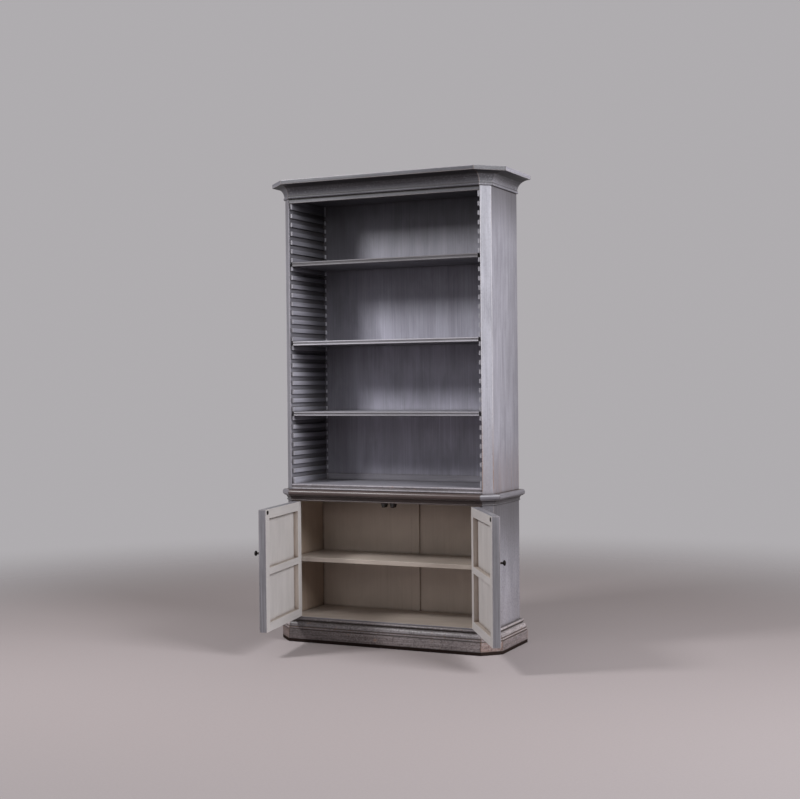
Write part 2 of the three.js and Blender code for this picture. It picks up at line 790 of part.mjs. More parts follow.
// Butt hinges. The post's leaf has the two outer knuckles and the pin, and the door's leaf the middle knuckle.
function upCylinder(radius, low, high) {
  return new THREE.CylinderGeometry(radius, radius, high - low, pinSides)
    .rotateX(Math.PI / 2)
    .translate(0, 0, (low + high) / 2);
}

// A leaf and its knuckles about the hinge's axis at its middle; the leaf lies on the side given by a sign.
function leafWithKnuckles(leafSign, spans) {
  const [lowX, highX] = [pieceGap / 2, pieceGap / 2 + hingeLeafThickness]
    .map((place) => leafSign * place)
    .sort((a, b) => a - b);
  const half = hingeLeafHeight / 2;
  const plateFront = hingeKnuckleRadius + 2 * pieceGap;
  const plateBack = hingeKnuckleRadius + pieceGap + hingeLeafWidth;
  const plate = block(lowX, highX, plateFront, plateBack, -half, half);
  const knuckles = spans.flatMap(([low, high]) => [
    upCylinder(hingeKnuckleRadius, low, high),
    block(lowX, highX, 0, plateFront + hingeLeafThickness, low, high),
  ]);
  return join(plate, ...knuckles);
}

function knuckleSpans() {
  const length = hingeLeafHeight / 3;
  return [-1, 0, 1].map((k) => [(k - 1 / 2) * length + pieceGap / 2, (k + 1 / 2) * length - pieceGap / 2]);
}

function postLeaf(side, middle) {
  const spans = knuckleSpans();
  const half = hingeLeafHeight / 2;
  const pin = upCylinder(hingePinRadius, -half, half);
  const head = new THREE.SphereGeometry(hingePinHeadRadius, pinSides, pinSides / 2).rotateX(Math.PI / 2);
  const heads = [-half, half].map((place) => head.clone().translate(0, 0, place));
  const leaf = join(leafWithKnuckles(side, [spans[0], spans[2]]), pin, ...heads);
  return leaf.translate(side * hingeAxisX, hingeAxisY, middle);
}

function doorLeaf(side, middle) {
  const spans = knuckleSpans();
  const bore = upCylinder(hingePinRadius + pieceGap, spans[1][0] - cutOverrun, spans[1][1] + cutOverrun);
  const leaf = cut(leafWithKnuckles(-side, [spans[1]]), bore);
  return leaf.translate(side * hingeAxisX, hingeAxisY, middle);
}

function hingeNames() {
  return [["lower", hingeHeights()[0]], ["upper", hingeHeights()[1]]];
}

function buildHingesOnPosts() {
  for (const [side, word] of [[-1, "left"], [1, "right"]]) {
    for (const [place, middle] of hingeNames()) {
      add(`post_hinge_leaf_${word}_${place}`, postLeaf(side, middle), agedSteel);
    }
  }
}

function buildDoor(side, word, openAngle) {
  const swing = new THREE.Group();
  swing.position.set(side * hingeAxisX, hingeAxisY, 0);
  swing.rotation.z = side * THREE.MathUtils.degToRad(openAngle);
  root.add(swing);
  const place = (name, geometry, finish) => {
    geometry.translate(-side * hingeAxisX, -hingeAxisY, 0);
    add(`door_${word}_${name}`, geometry, finish, swing);
  };
  const edgeX = doorX(side, 0);
  const seats = hingeHeights().map((middle) => leafSeat(edgeX, -side, middle));
  place("hinge_stile", cut(doorStile(side, 0, doorStileWidth), ...seats), creamPaint);
  place("meeting_stile", doorStile(side, doorWidth, doorWidth - doorStileWidth), creamPaint);
  const middleLow = doorLow + doorMiddleRailBottom;
  const middleHigh = middleLow + doorMiddleRailHeight;
  const bottomHigh = doorLow + doorBottomRailHeight;
  const topLow = doorHigh - doorTopRailHeight;
  place("bottom_rail", doorRail(side, doorLow, bottomHigh, false, true), creamPaint);
  place("middle_rail", doorRail(side, middleLow, middleHigh, true, true), creamPaint);
  place("top_rail", doorRail(side, topLow, doorHigh, true, false), creamPaint);
  place("lower_panel", doorPanel(side, bottomHigh, middleLow), creamPaint);
  place("upper_panel", doorPanel(side, middleHigh, topLow), creamPaint);
  place("knob", knobGeometry(side), blackMetal);
  place("strike", strikeGeometry(side), blackMetal);
  for (const [level, middle] of hingeNames()) {
    place(`hinge_leaf_${level}`, doorLeaf(side, middle), agedSteel);
  }
}

// Double magnetic catch under the top rail, with one housing for each door's strike
function buildCatch() {
  const catchFront = doorClosedBackY + pieceGap + strikeThickness + catchPlay;
  const top = topRailBottom - pieceGap;
  const plateLow = top - catchPlateThickness;
  const middleX = doorMeetingGap / 2 + strikeEdgeDistance;
  const plateHalf = middleX + catchWidth / 2 + catchPlateMargin;
  const footHalf = (catchWidth * catchFootShare) / 2;
  const housing = (side) => [
    [side * middleX - catchWidth / 2, plateLow],
    [side * middleX - footHalf, top - catchHeight],
    [side * middleX + footHalf, top - catchHeight],
    [side * middleX + catchWidth / 2, plateLow],
  ];
  const section = [[-plateHalf, top], [-plateHalf, plateLow], ...housing(-1), ...housing(1),
    [plateHalf, plateLow], [plateHalf, top]];
  add("door_catch", alongY(section, catchFront, catchFront + catchDepth), blackMetal);
}

buildCornice();
buildUpperCase();
buildRacks();
buildShelves();
buildWaist();
buildCabinetCase();
buildCabinetInside();
buildBase();
buildHingesOnPosts();
buildDoor(-1, "left", leftDoorOpenAngle);
buildDoor(1, "right", rightDoorOpenAngle);
buildCatch();

export default root;
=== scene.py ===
"""Two-part bookcase with cabinet doors, dressed as brushed, rubbed and worn painted wood."""

import json
import logging
import math
from dataclasses import dataclass, field, replace
from enum import Enum
from typing import Any, Callable, Optional, Sequence

import bmesh
import bpy
from mathutils import Matrix, Vector
from mathutils.geometry import convex_hull_2d, intersect_point_line

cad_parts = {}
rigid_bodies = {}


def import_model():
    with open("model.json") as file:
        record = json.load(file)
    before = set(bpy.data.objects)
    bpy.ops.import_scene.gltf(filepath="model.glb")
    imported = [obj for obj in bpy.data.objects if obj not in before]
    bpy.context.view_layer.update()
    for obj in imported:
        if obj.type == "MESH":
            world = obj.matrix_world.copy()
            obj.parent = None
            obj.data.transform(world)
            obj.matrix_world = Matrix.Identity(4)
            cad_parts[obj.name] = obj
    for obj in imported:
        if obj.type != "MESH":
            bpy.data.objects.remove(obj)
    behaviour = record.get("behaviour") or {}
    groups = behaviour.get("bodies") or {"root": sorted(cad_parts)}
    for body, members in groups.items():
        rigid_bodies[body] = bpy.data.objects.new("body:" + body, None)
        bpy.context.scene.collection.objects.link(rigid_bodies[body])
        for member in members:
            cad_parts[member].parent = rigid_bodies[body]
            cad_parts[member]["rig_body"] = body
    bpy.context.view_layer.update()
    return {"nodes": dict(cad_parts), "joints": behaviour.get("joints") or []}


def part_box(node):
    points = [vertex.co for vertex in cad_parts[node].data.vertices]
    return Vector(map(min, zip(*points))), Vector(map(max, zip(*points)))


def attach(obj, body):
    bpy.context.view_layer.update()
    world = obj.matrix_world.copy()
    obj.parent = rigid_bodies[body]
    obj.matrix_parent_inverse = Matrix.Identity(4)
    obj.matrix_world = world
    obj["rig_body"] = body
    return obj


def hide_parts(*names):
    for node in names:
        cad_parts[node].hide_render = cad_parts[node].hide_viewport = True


log = logging.getLogger("bookcase")
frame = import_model()

MM = 0.001
WELD = 0.01 * MM
FLAT_ANGLE = math.radians(0.4)
ARRIS_ANGLE = math.radians(32)
GRAIN = "grain"
# Vertex attribute: dark lines at mitre joints, and painted shade in hollows, flutes and rack slots.
GLAZE_AND_SHADE = "glaze"
UP = Vector((0, 0, 1))
ALONG_FRONT = Vector((1, 0, 0))
INTO_CASE = Vector((0, 1, 0))

Colour = tuple[float, float, float]
Profile = list[tuple[float, float]]
Picker = Callable[[Vector, Vector], int]
Socket = bpy.types.NodeSocket


class Slot(Enum):
    """Names of material slots; the builders pass them on to Workshop.place, which does not use them."""

    GREY = "grey_paint"
    DARK = "dark_grey_paint"
    CREAM = "cream_paint"
    DOOR = "door_paint"
    WOOD = "bare_wood"
    BLACK = "black_metal"
    STEEL = "aged_steel"


class NodeWriter:
    """Adds nodes to a node tree and joins them."""

    def __init__(self, tree: bpy.types.NodeTree) -> None:
        """Keeps the tree that the nodes go into."""
        self.tree = tree

    def add(self, kind: str, inputs: Optional[dict[Any, Any]] = None, **settings: Any) -> bpy.types.Node:
        """Adds one node.

        Args:
            kind: The node's type name.
            inputs: Socket name or number to a value, or to what feeds it.
            **settings: Properties of the node itself.

        Returns:
            The new node.
        """
        node = self.tree.nodes.new(kind)
        for key, value in settings.items():
            setattr(node, key, value)
        self.feed(node, inputs or {})
        return node

    def feed(self, node: bpy.types.Node, inputs: dict[Any, Any]) -> None:
        """Gives a node's inputs their values: plain ones, output sockets, or nodes, whose first output is meant."""
        for key, value in inputs.items():
            if isinstance(value, bpy.types.Node):
                value = value.outputs[0]
            if isinstance(value, bpy.types.NodeSocket):
                self.tree.links.new(value, node.inputs[key])
            else:
                node.inputs[key].default_value = value

    def maths(self, operation: str, first: Any, second: Any = 0.0) -> Socket:
        """Returns the result of a sum on one or two values."""
        return self.add("ShaderNodeMath", {0: first, 1: second}, operation=operation).outputs[0]

    def times(self, first: Any, second: Any) -> Socket:
        """Returns the product of two values."""
        return self.maths("MULTIPLY", first, second)

    def weighted(self, *terms: tuple[Any, float]) -> Socket:
        """Returns the sum of values, each times its weight."""
        products = [self.times(*term) for term in terms]
        total = products[0]
        for product in products[1:]:
            total = self.maths("ADD", total, product)
        return total

    def stretch(self, vector: Any, factors: Any) -> Socket:
        """Returns a vector with each of its parts times its own factor."""
        return self.add("ShaderNodeVectorMath", {0: vector, 1: factors}, operation="MULTIPLY").outputs[0]

    def scale(self, vector: Any, factor: Any) -> Socket:
        """Returns a vector or a colour times one factor."""
        return self.add("ShaderNodeVectorMath", {0: vector, "Scale": factor}, operation="SCALE").outputs[0]

    def along(self, vector: Any, axis: str) -> Socket:
        """Returns one part of a vector."""
        return self.add("ShaderNodeSeparateXYZ", {0: vector}).outputs[axis]

    def mix(self, share: Any, first: Any, second: Any) -> Socket:
        """Returns a mix of two colours, the second of them at a share of 1."""
        first, second = (c if isinstance(c, Socket) else (*c, 1.0) for c in (first, second))
        return self.add("ShaderNodeMix", {0: share, 6: first, 7: second}, data_type="RGBA").outputs[2]

    def spread(self, value: Any, low: float, high: float, out_low: float = 0.0, out_high: float = 1.0) -> Socket:
        """Returns a value spread smoothly from the range low to high to the range out_low to out_high."""
        return self.add("ShaderNodeMapRange", {0: value, 1: low, 2: high, 3: out_low, 4: out_high},
                        interpolation_type="SMOOTHSTEP").outputs[0]

    def noise(self, place: Any, scale: Any, detail: float = 3.0, roughness: float = 0.55,
              distortion: float = 0.0) -> Socket:
        """Returns cloudy noise.

        Args:
            place: The coordinates' socket.
            scale: How many clouds there are in a metre.
            detail: How many finer layers there are.
            roughness: How strong the finer layers are.
            distortion: How far the clouds are drawn out of shape.

        Returns:
            The noise value's socket.
        """
        return self.add("ShaderNodeTexNoise", {"Vector": place, "Scale": scale, "Detail": detail,
                                               "Roughness": roughness, "Distortion": distortion}).outputs["Fac"]

    def openness(self, distance: Any, samples: int) -> Socket:
        """Returns how open the space before the surface is, up to a distance."""
        return self.add("ShaderNodeAmbientOcclusion", {"Distance": distance}, samples=samples).outputs["AO"]

    def grain(self) -> Socket:
        """Returns the coordinates that run along each board, as its mesh holds them."""
        return self.add("ShaderNodeAttribute", attribute_name=GRAIN).outputs["Vector"]

    def place(self) -> Socket:
        """Returns the coordinates in the bookcase itself."""
        return self.add("ShaderNodeTexCoord").outputs["Object"]

    def effect(self, tree: bpy.types.NodeTree, inputs: dict[str, Any]) -> dict[str, Socket]:
        """Places a shared effect with its inputs, and returns its outputs by name."""
        return {s.name: s for s in self.add("ShaderNodeGroup", inputs, node_tree=tree).outputs}

    def join(self, *parts: Any) -> bpy.types.Node:
        """Returns a node that joins geometries, in their order."""
        node = self.add("GeometryNodeJoinGeometry")
        for part in parts:
            self.feed(node, {0: part})
        return node

    def dress(self, shader: bpy.types.Node, colour: Socket, rough: Socket, relief: Socket, strength: float,
              depth: float) -> None:
        """Gives a shader its colour, its roughness and its relief.

        Args:
            shader: The shader.
            colour: Its colour.
            rough: Its roughness.
            relief: The height of its surface.
            strength: How strong the relief is.
            depth: How deep the relief is.
        """
        bump = self.add("ShaderNodeBump", {"Strength": strength, "Distance": depth, "Height": relief})
        self.feed(shader, {"Base Color": colour, "Roughness": rough, "Normal": bump})


def add_sockets(tree: bpy.types.NodeTree, way: str, sockets: dict[str, Any]) -> None:
    """Adds named sockets to a node group.

    Args:
        tree: The group.
        way: INPUT or OUTPUT.
        sockets: Name to the value at the start, or to the kind of socket where it has none.
    """
    for name, start in sockets.items():
        kind = start if isinstance(start, str) else {float: "Float", int: "Int"}[type(start)]
        socket = tree.interface.new_socket(name=name, in_out=way, socket_type=f"NodeSocket{kind}")
        if kind is not start:
            socket.default_value = start


class ShaderGroups:
    """The effects that several finishes share, each a node group that is built once."""

    def __init__(self) -> None:
        """Builds the groups."""
        self.strokes = self._strokes()
        self.arris_wear = self._arris_wear()
        self.recess_grime = self._recess_grime()
        self.wood_grain = self._wood_grain()

    @staticmethod
    def _open(name: str, inputs: dict[str, Any]) -> tuple[NodeWriter, dict[str, Socket]]:
        """Starts a group, and returns its writer and its inputs by name."""
        tree = bpy.data.node_groups.new(name, "ShaderNodeTree")
        add_sockets(tree, "INPUT", inputs)
        writer = NodeWriter(tree)
        return writer, {s.name: s for s in writer.add("NodeGroupInput").outputs if s.name}

    @staticmethod
    def _close(writer: NodeWriter, outputs: dict[str, Socket]) -> bpy.types.NodeTree:
        """Gives a group its outputs, and returns it."""
        kinds = {name: "Color" if socket.type == "RGBA" else "Float" for name, socket in outputs.items()}
        add_sockets(writer.tree, "OUTPUT", kinds)
        writer.add("NodeGroupOutput", outputs)
        return writer.tree

    def _strokes(self) -> bpy.types.NodeTree:
        """Long marks of a dry brush along the grain, clouds of thicker paint, and the relief of both."""
        writer, given = self._open("Brush Strokes", {"Grain": "Vector", "Stroke Length": 0.4, "Stroke Width": 0.005})
        along, across = (writer.maths("DIVIDE", 1.0, given[f"Stroke {size}"]) for size in ("Length", "Width"))

        def stretched(along_share: float, across_share: float) -> Socket:
            """Returns the grain coordinates, counted in strokes of that share of the full length and width."""
            width = writer.times(across, across_share)
            size = writer.add("ShaderNodeCombineXYZ", {0: writer.times(along, along_share), 1: width, 2: width})
            return writer.stretch(given["Grain"], size)

        broad = writer.noise(stretched(0.8, 0.2), 1.0, 2.0, 0.5, 0.2)
        middle = writer.noise(stretched(1.2, 1.0), 1.0, 3.0, 0.6, 0.2)
        fine = writer.noise(stretched(2.0, 3.5), 1.0, 2.0, 0.6)
        cloud = writer.noise(stretched(1.2, 0.05), 1.0, 4.0, 0.6, 0.5)
        streak = writer.weighted((broad, 0.2), (middle, 0.5), (fine, 0.3))
        relief = writer.weighted((middle, 0.6), (fine, 0.4))
        return self._close(writer, {"Streak": streak, "Cloud": cloud, "Relief": relief})

    def _arris_wear(self) -> bpy.types.NodeTree:
        """Where handling has thinned the paint along the arrises, which also stands as painted highlights there, and
        where it is through to the wood.
        """
        writer, given = self._open("Arris Wear", {"Place": "Vector", "Reach": 0.005, "Amount": 0.5, "Patches": 9.0})
        rounded = writer.add("ShaderNodeBevel", {"Radius": given["Reach"]}, samples=4)
        surface = writer.add("ShaderNodeNewGeometry").outputs["Normal"]
        meeting = writer.add("ShaderNodeVectorMath", {0: rounded, 1: surface}, operation="DOT_PRODUCT")
        near = writer.spread(writer.maths("SUBTRACT", 1.0, meeting.outputs["Value"]), 0.0, 0.2)
        convex = writer.times(near, writer.spread(writer.openness(0.03, 4), 0.72, 0.95))
        patch = writer.noise(given["Place"], given["Patches"], 5.0, 0.68, 0.3)
        scratch = writer.noise(given["Place"], writer.times(given["Patches"], 9.0), 2.0, 0.6)
        texture = writer.weighted((patch, 0.75), (scratch, 0.25))
        chance = writer.maths("ADD", writer.maths("SUBTRACT", texture, 0.62), given["Amount"])
        thin = writer.spread(writer.times(convex, writer.maths("ADD", chance, 0.35)), 0.12, 0.5)
        bare = writer.spread(writer.times(convex, chance), 0.2, 0.42)
        return self._close(writer, {"Thin": thin, "Bare": bare})

    def _recess_grime(self) -> bpy.types.NodeTree:
        """Dark wax and dust that stay in corners and quirks, and painted shade there: darker where little space before
        the surface is open.
        """
        writer, given = self._open("Recess Grime", {"Place": "Vector", "Reach": 0.02, "Amount": 0.5})
        closed = writer.spread(writer.openness(given["Reach"], 6), 0.3, 0.92, 1.0, 0.0)
        patch = writer.noise(given["Place"], 14.0, 4.0, 0.6)
        worked = writer.times(closed, writer.spread(patch, 0.25, 0.65, 0.45, 1.0))
        return self._close(writer, {"Grime": writer.times(worked, given["Amount"])})

    def _wood_grain(self) -> bpy.types.NodeTree:
        """Softwood: pale and dark year rings drawn out along the grain."""
        writer, given = self._open("Wood Grain", {"Grain": "Vector"})
        figure = writer.noise(writer.stretch(given["Grain"], (2.2, 60.0, 60.0)), 1.0, 4.0, 0.65, 1.1)
        colour = writer.mix(writer.spread(figure, 0.3, 0.7), (0.27, 0.12, 0.055), (0.46, 0.25, 0.13))
        return self._close(writer, {"Colour": colour, "Figure": figure})


def new_material(name: str) -> tuple[bpy.types.Material, NodeWriter, bpy.types.Node]:
    """Starts a material with one shader, and returns it with its writer and the shader."""
    material = bpy.data.materials.new(name)
    material.use_nodes = True
    material.node_tree.nodes.clear()
    writer = NodeWriter(material.node_tree)
    shader = writer.add("ShaderNodeBsdfPrincipled")
    writer.add("ShaderNodeOutputMaterial", {"Surface": shader})
    return material, writer, shader


@dataclass(frozen=True)
class Band:
    """A stretch of a surface darkened as painted shade, as under a moulding; one with a colour of its own is a painted
    highlight, and a dull one is a painted contact shadow, without sheen or bare wood.
    """

    axis: str
    start: float
    full: float
    share: float
    colour: Optional[Colour] = None
    dull: bool = False

    def amount(self, writer: NodeWriter, place: Socket) -> Socket:
        """Returns the band's share at a place: it grows from the start of the band to where it is full."""
        return writer.spread(writer.along(place, self.axis), self.start, self.full, 0.0, self.share)


@dataclass(frozen=True)
class Stripe:
    """A dark stripe across an axis: painted shade, as the shadow line in the quirk of a moulding or under a door's
    rail, and a dark line where the case's floor meets the waist.
    """

    place: float
    half_width: float
    share: float
    core: float = 0.4
    colour: Optional[Colour] = None
    dull: bool = False

    def amount(self, writer: NodeWriter, place: Socket) -> Socket:
        """Returns the stripe's share at a place: it is full in the stripe's core and falls to nothing beside it."""
        away = writer.maths("ABSOLUTE", writer.maths("SUBTRACT", writer.along(place, "Z"), self.place))
        return writer.spread(away, self.core * self.half_width, self.half_width, self.share, 0.0)


@dataclass(frozen=True)
class Paint:
    """A brushed paint, rubbed thin along its arrises, which also stand as painted highlights, darker in its recesses
    from dirt and painted shade, with painted shade and highlights in its bands and stripes.
    """

    name: str
    deep: Colour
    body: Colour
    pale: Colour
    undercoat: Colour
    stroke_length: float = 0.4
    stroke_width: float = 0.005
    contrast: float = 1.0
    cloudiness: float = 0.14
    # How far the arrises are rubbed thin, which also sets their painted highlights, and how far that reaches.
    wear: float = 0.42
    wear_reach: float = 0.007
    foot_wear: float = 0.0
    foot_low: float = 0.0
    foot_high: float = 0.2
    stain: float = 0.0
    stain_colour: Colour = (0.22, 0.15, 0.13)
    rubs: float = 0.0
    # How much dirt and painted shade darken corners and recesses, and their colour.
    grime: float = 0.6
    dirt_and_shade_colour: Colour = (0.07, 0.055, 0.045)
    # The dark colour of glazing and specks, and of the painted shade in hollows, bands and stripes.
    glaze_and_shade_colour: Colour = (0.085, 0.078, 0.083)
    # Bands and stripes: painted shade, and painted highlights where they have a colour of their own.
    bands: tuple[Any, ...] = ()
    bared: float = 0.3
    specks: float = 0.0
    gloss_low: float = 0.42
    gloss_high: float = 0.58
    relief: float = 0.3
    sheen: float = 0.4

    def build(self, groups: ShaderGroups) -> bpy.types.Material:
        """Builds the paint's material.

        Args:
            groups: The shared effects.

        Returns:
            The material.
        """
        material, writer, shader = new_material(self.name)
        shader.inputs["Specular IOR Level"].default_value = self.sheen
        grain, place = writer.grain(), writer.place()
        height = writer.along(place, "Z")
        strokes = writer.effect(groups.strokes, {
            "Grain": grain, "Stroke Length": self.stroke_length, "Stroke Width": self.stroke_width})
        foot = writer.spread(height, self.foot_low, self.foot_high, self.foot_wear, 0.0)
        wear = writer.effect(groups.arris_wear, {
            "Place": place, "Reach": self.wear_reach, "Amount": writer.maths("ADD", foot, self.wear)})
        grime = writer.effect(groups.recess_grime, {"Place": place, "Amount": self.grime})["Grime"]
        wood = writer.effect(groups.wood_grain, {"Grain": grain})["Colour"]

        half = 0.17 / self.contrast
        colour = writer.mix(writer.spread(strokes["Streak"], 0.5 - half, 0.5), self.deep, self.body)
        colour = writer.mix(writer.spread(strokes["Streak"], 0.5, 0.5 + half), colour, self.pale)
        shade = writer.spread(strokes["Cloud"], 0.3, 0.7, 1.0 - self.cloudiness, 1.0 + self.cloudiness)
        # Paler undercoat along the arrises: rubbed paint, and painted highlights there.
        colour = writer.mix(wear["Thin"], writer.scale(colour, shade), self.undercoat)
        # Dark glazing held in hollows, flutes and slots, which is painted shade there, and dark lines at mitres.
        glaze = writer.times(writer.add("ShaderNodeAttribute", attribute_name=GLAZE_AND_SHADE).outputs["Fac"],
                             writer.spread(strokes["Streak"], 0.3, 0.6, 1.0, 0.72))
        colour = writer.mix(glaze, colour, self.glaze_and_shade_colour)
        stain = writer.times(writer.spread(height, self.foot_low, self.foot_high, self.stain, 0.0),
                             writer.spread(strokes["Streak"], 0.42, 0.56))
        colour = writer.mix(stain, colour, self.stain_colour)
        rub = writer.times(writer.spread(writer.noise(place, 17.0, 5.0, 0.65, 0.4), 0.6, 0.68), self.rubs)
        colour = writer.mix(rub, colour, wood)
        for scale, speck in ((150.0, self.undercoat), (110.0, self.glaze_and_shade_colour)) if self.specks else ():
            spots = writer.spread(writer.noise(place, scale, 4.0, 0.7), 0.53, 0.62, 0.0, self.specks)
            colour = writer.mix(spots, colour, speck)
        # Bands and stripes without a colour: painted shade.
        for band in (band for band in self.bands if not band.colour):
            colour = writer.mix(band.amount(writer, place), colour, self.glaze_and_shade_colour)
        # Bands with a colour of their own are painted highlights, kept off the darkened hollows.
        clear = writer.spread(glaze, 0.0, 0.3, 1.0, 0.0)
        for band in (band for band in self.bands if band.colour):
            colour = writer.mix(writer.times(band.amount(writer, place), clear), colour, band.colour)
        # Darker in corners and recesses: dirt with painted shade.
        colour = writer.mix(grime, colour, self.dirt_and_shade_colour)
        bare = writer.times(wear["Bare"], writer.spread(height, self.foot_low, self.foot_high, 1.0, self.bared))
        # Dull bands are painted contact shadows: no bare wood and no sheen there.
        for band in (band for band in self.bands if band.dull):
            clean = writer.maths("SUBTRACT", 1.0, band.amount(writer, place))
            bare = writer.times(bare, clean)
            writer.feed(shader, {"Specular IOR Level": writer.times(clean, self.sheen)})
        colour = writer.mix(bare, colour, writer.scale(wood, 0.62))

        gloss = writer.spread(strokes["Streak"], 0.35, 0.65, self.gloss_high, self.gloss_low)
        rough = writer.maths("ADD", gloss, writer.times(bare, 0.2))
        worn = writer.maths("SUBTRACT", strokes["Relief"], writer.times(bare, 0.5))
        writer.dress(shader, colour, rough, worn, self.relief, 0.5 * MM)
        return material


@dataclass(frozen=True)
class BareWood:
    """Unpainted softwood under the cabinet."""

    name: str
    roughness: float = 0.75

    def build(self, groups: ShaderGroups) -> bpy.types.Material:
        """Returns the wood's material, made with the shared effects."""
        material, writer, shader = new_material(self.name)
        wood = writer.effect(groups.wood_grain, {"Grain": writer.grain()})
        # Darker in corners: dirt with painted shade.
        grime = writer.effect(groups.recess_grime, {"Place": writer.place(), "Amount": 0.6})["Grime"]
        colour = writer.mix(grime, wood["Colour"], (0.06, 0.045, 0.035))
        rough = writer.spread(wood["Figure"], 0.3, 0.7, self.roughness, self.roughness - 0.15)
        writer.dress(shader, colour, rough, wood["Figure"], 0.4, 0.4 * MM)
        return material


@dataclass(frozen=True)
class Metal:
    """A dark or aged metal with rubbed high places."""

    name: str
    colour: Colour
    rubbed: Colour
    roughness: float
    metallic: float = 1.0
    wear: float = 0.5
    wear_reach: float = 0.0012

    def build(self, groups: ShaderGroups) -> bpy.types.Material:
        """Returns the metal's material, made with the shared effects."""
        material, writer, shader = new_material(self.name)
        shader.inputs["Metallic"].default_value = self.metallic
        place = writer.place()
        wear = writer.effect(groups.arris_wear, {
            "Place": place, "Reach": self.wear_reach, "Amount": self.wear, "Patches": 60.0})
        mottle = writer.noise(place, 320.0, 4.0, 0.6)
        darker = tuple(0.6 * c for c in self.colour)
        colour = writer.mix(writer.spread(mottle, 0.35, 0.65), darker, self.colour)
        rough = writer.spread(mottle, 0.3, 0.7, self.roughness - 0.08, self.roughness + 0.12)
        writer.dress(shader, writer.mix(wear["Thin"], colour, self.rubbed), rough, mottle, 0.25, 0.2 * MM)
        return material


UNDERCOAT: Colour = (0.52, 0.50, 0.54)
# Painted contact shadow along the foot: full below 15 mm, gone by 20 mm, dull.
CONTACT_SHADOW = Band("Z", 20 * MM, 15 * MM, 1.0, dull=True)
# Painted shade: darker towards the left.
LEFTWARD_SHADE = Band("X", 0.1, -0.6, 0.5)
# Painted shadow lines in the base moulding's quirks.
STEP_SHADOWS = (Stripe(0.0665, 0.004, 0.95), Stripe(0.079, 0.0034, 0.8),
         Stripe(0.1075, 0.0042, 0.95), Stripe(0.124, 0.003, 0.85))
GREY = Paint("grey paint", (0.25, 0.24, 0.276), (0.325, 0.313, 0.36), (0.405, 0.392, 0.445), UNDERCOAT)
# The left post's front: painted shade growing towards the top.
LEFT_POST_SHADED_GREY = replace(GREY, name="grey paint of the left post", bands=(Band("Z", 1.5, 2.2, 0.3),))
# The upper sides: painted shade under the cornice and towards the back.
SIDE_GREY = Paint("grey paint of the sides", (0.25, 0.238, 0.275), (0.33, 0.317, 0.364), (0.42, 0.405, 0.458),
                  UNDERCOAT, contrast=1.15, foot_wear=0.5, foot_low=0.8, foot_high=1.1, stain=0.6,
                  bands=(Band("Z", 2.0, 2.34, 0.8), Band("Y", -0.05, 0.2, 0.25)), specks=0.12)
# The lower posts: a darker copy of the grey, as painted shade, growing darker up towards the waist.
SHADED_LOWER_POST_GREY = Paint("grey paint of the lower posts", (0.15, 0.144, 0.163), (0.21, 0.202, 0.23),
                        (0.3, 0.29, 0.328), UNDERCOAT, contrast=1.3, wear=0.5, bands=(Band("Z", 0.25, 0.78, 0.6),),
                        specks=0.3)
# The lower sides: painted shade under the waist and towards the back.
LOWER_SIDE_GREY = Paint("grey paint of the lower sides", (0.29, 0.275, 0.315), (0.375, 0.36, 0.41),
                        (0.465, 0.45, 0.505), UNDERCOAT, contrast=1.15, foot_wear=0.25, foot_low=0.1, foot_high=0.5,
                        stain=0.3, bands=(Band("Z", 0.25, 0.78, 0.92), Band("Y", -0.05, 0.2, 0.25)), specks=0.45)
# The right post's cant: a paler copy of the grey, as painted light.
LIT_CANT_GREY = Paint("pale grey paint", (0.285, 0.277, 0.317), (0.36, 0.352, 0.4), (0.445, 0.435, 0.49),
                  (0.62, 0.605, 0.65), contrast=1.15, wear=0.36, foot_wear=0.5, foot_low=0.8, foot_high=1.35,
                  stain=0.35, specks=0.15)
# The upper posts' left cant and right front: a darker copy of the grey, as painted shade, darker still near the top.
SHADED_LIP_GREY = Paint("grey paint of the lips", (0.15, 0.144, 0.162), (0.207, 0.2, 0.226), (0.285, 0.275, 0.308),
                 UNDERCOAT, contrast=1.15, bands=(Band("Z", 1.9, 2.3, 0.6),))
# The upper back: painted shade, darker higher up and towards the left.
BACK_GREY = Paint("grey paint of the back", (0.325, 0.317, 0.378), (0.425, 0.414, 0.494), (0.53, 0.518, 0.615),
                  UNDERCOAT, contrast=0.95, wear=0.35, glaze_and_shade_colour=(0.07, 0.065, 0.07),
                  bands=(Band("Z", 1.4, 1.75, 0.35), Band("Z", 1.75, 2.35, 0.58), Band("X", -0.2, -0.45, 0.42)))
# The racks: painted shade higher up and towards the back; the pale ticks at the teeth's back ends are painted
# highlights.
RACK_GREY = Paint("grey paint of the racks", (0.25, 0.243, 0.282), (0.34, 0.33, 0.38), (0.44, 0.43, 0.487),
                  (0.46, 0.45, 0.48), contrast=1.1, wear=0.3, glaze_and_shade_colour=(0.03, 0.028, 0.032),
                  bands=(Band("Z", 1.3, 2.2, 0.5), Band("Y", -0.17, 0.1, 0.74),
                         Band("Y", 0.168, 0.173, 0.9, colour=(0.62, 0.61, 0.66))))
# The right rack's teeth fronts: a paler copy of the racks' grey, as painted light.
LIT_RACK_TIP_GREY = Paint("grey paint of the right rack's front", (0.34, 0.332, 0.375), (0.44, 0.43, 0.485),
                      (0.54, 0.53, 0.59), (0.62, 0.605, 0.65), wear=0.3)
# The left rack's teeth fronts: a darker copy of the racks' grey, as painted shade.
SHADED_RACK_EDGE_GREY = Paint("grey paint of the racks' fronts", (0.14, 0.135, 0.152), (0.2, 0.193, 0.22),
                       (0.28, 0.27, 0.305), UNDERCOAT, contrast=1.1, wear=0.3)
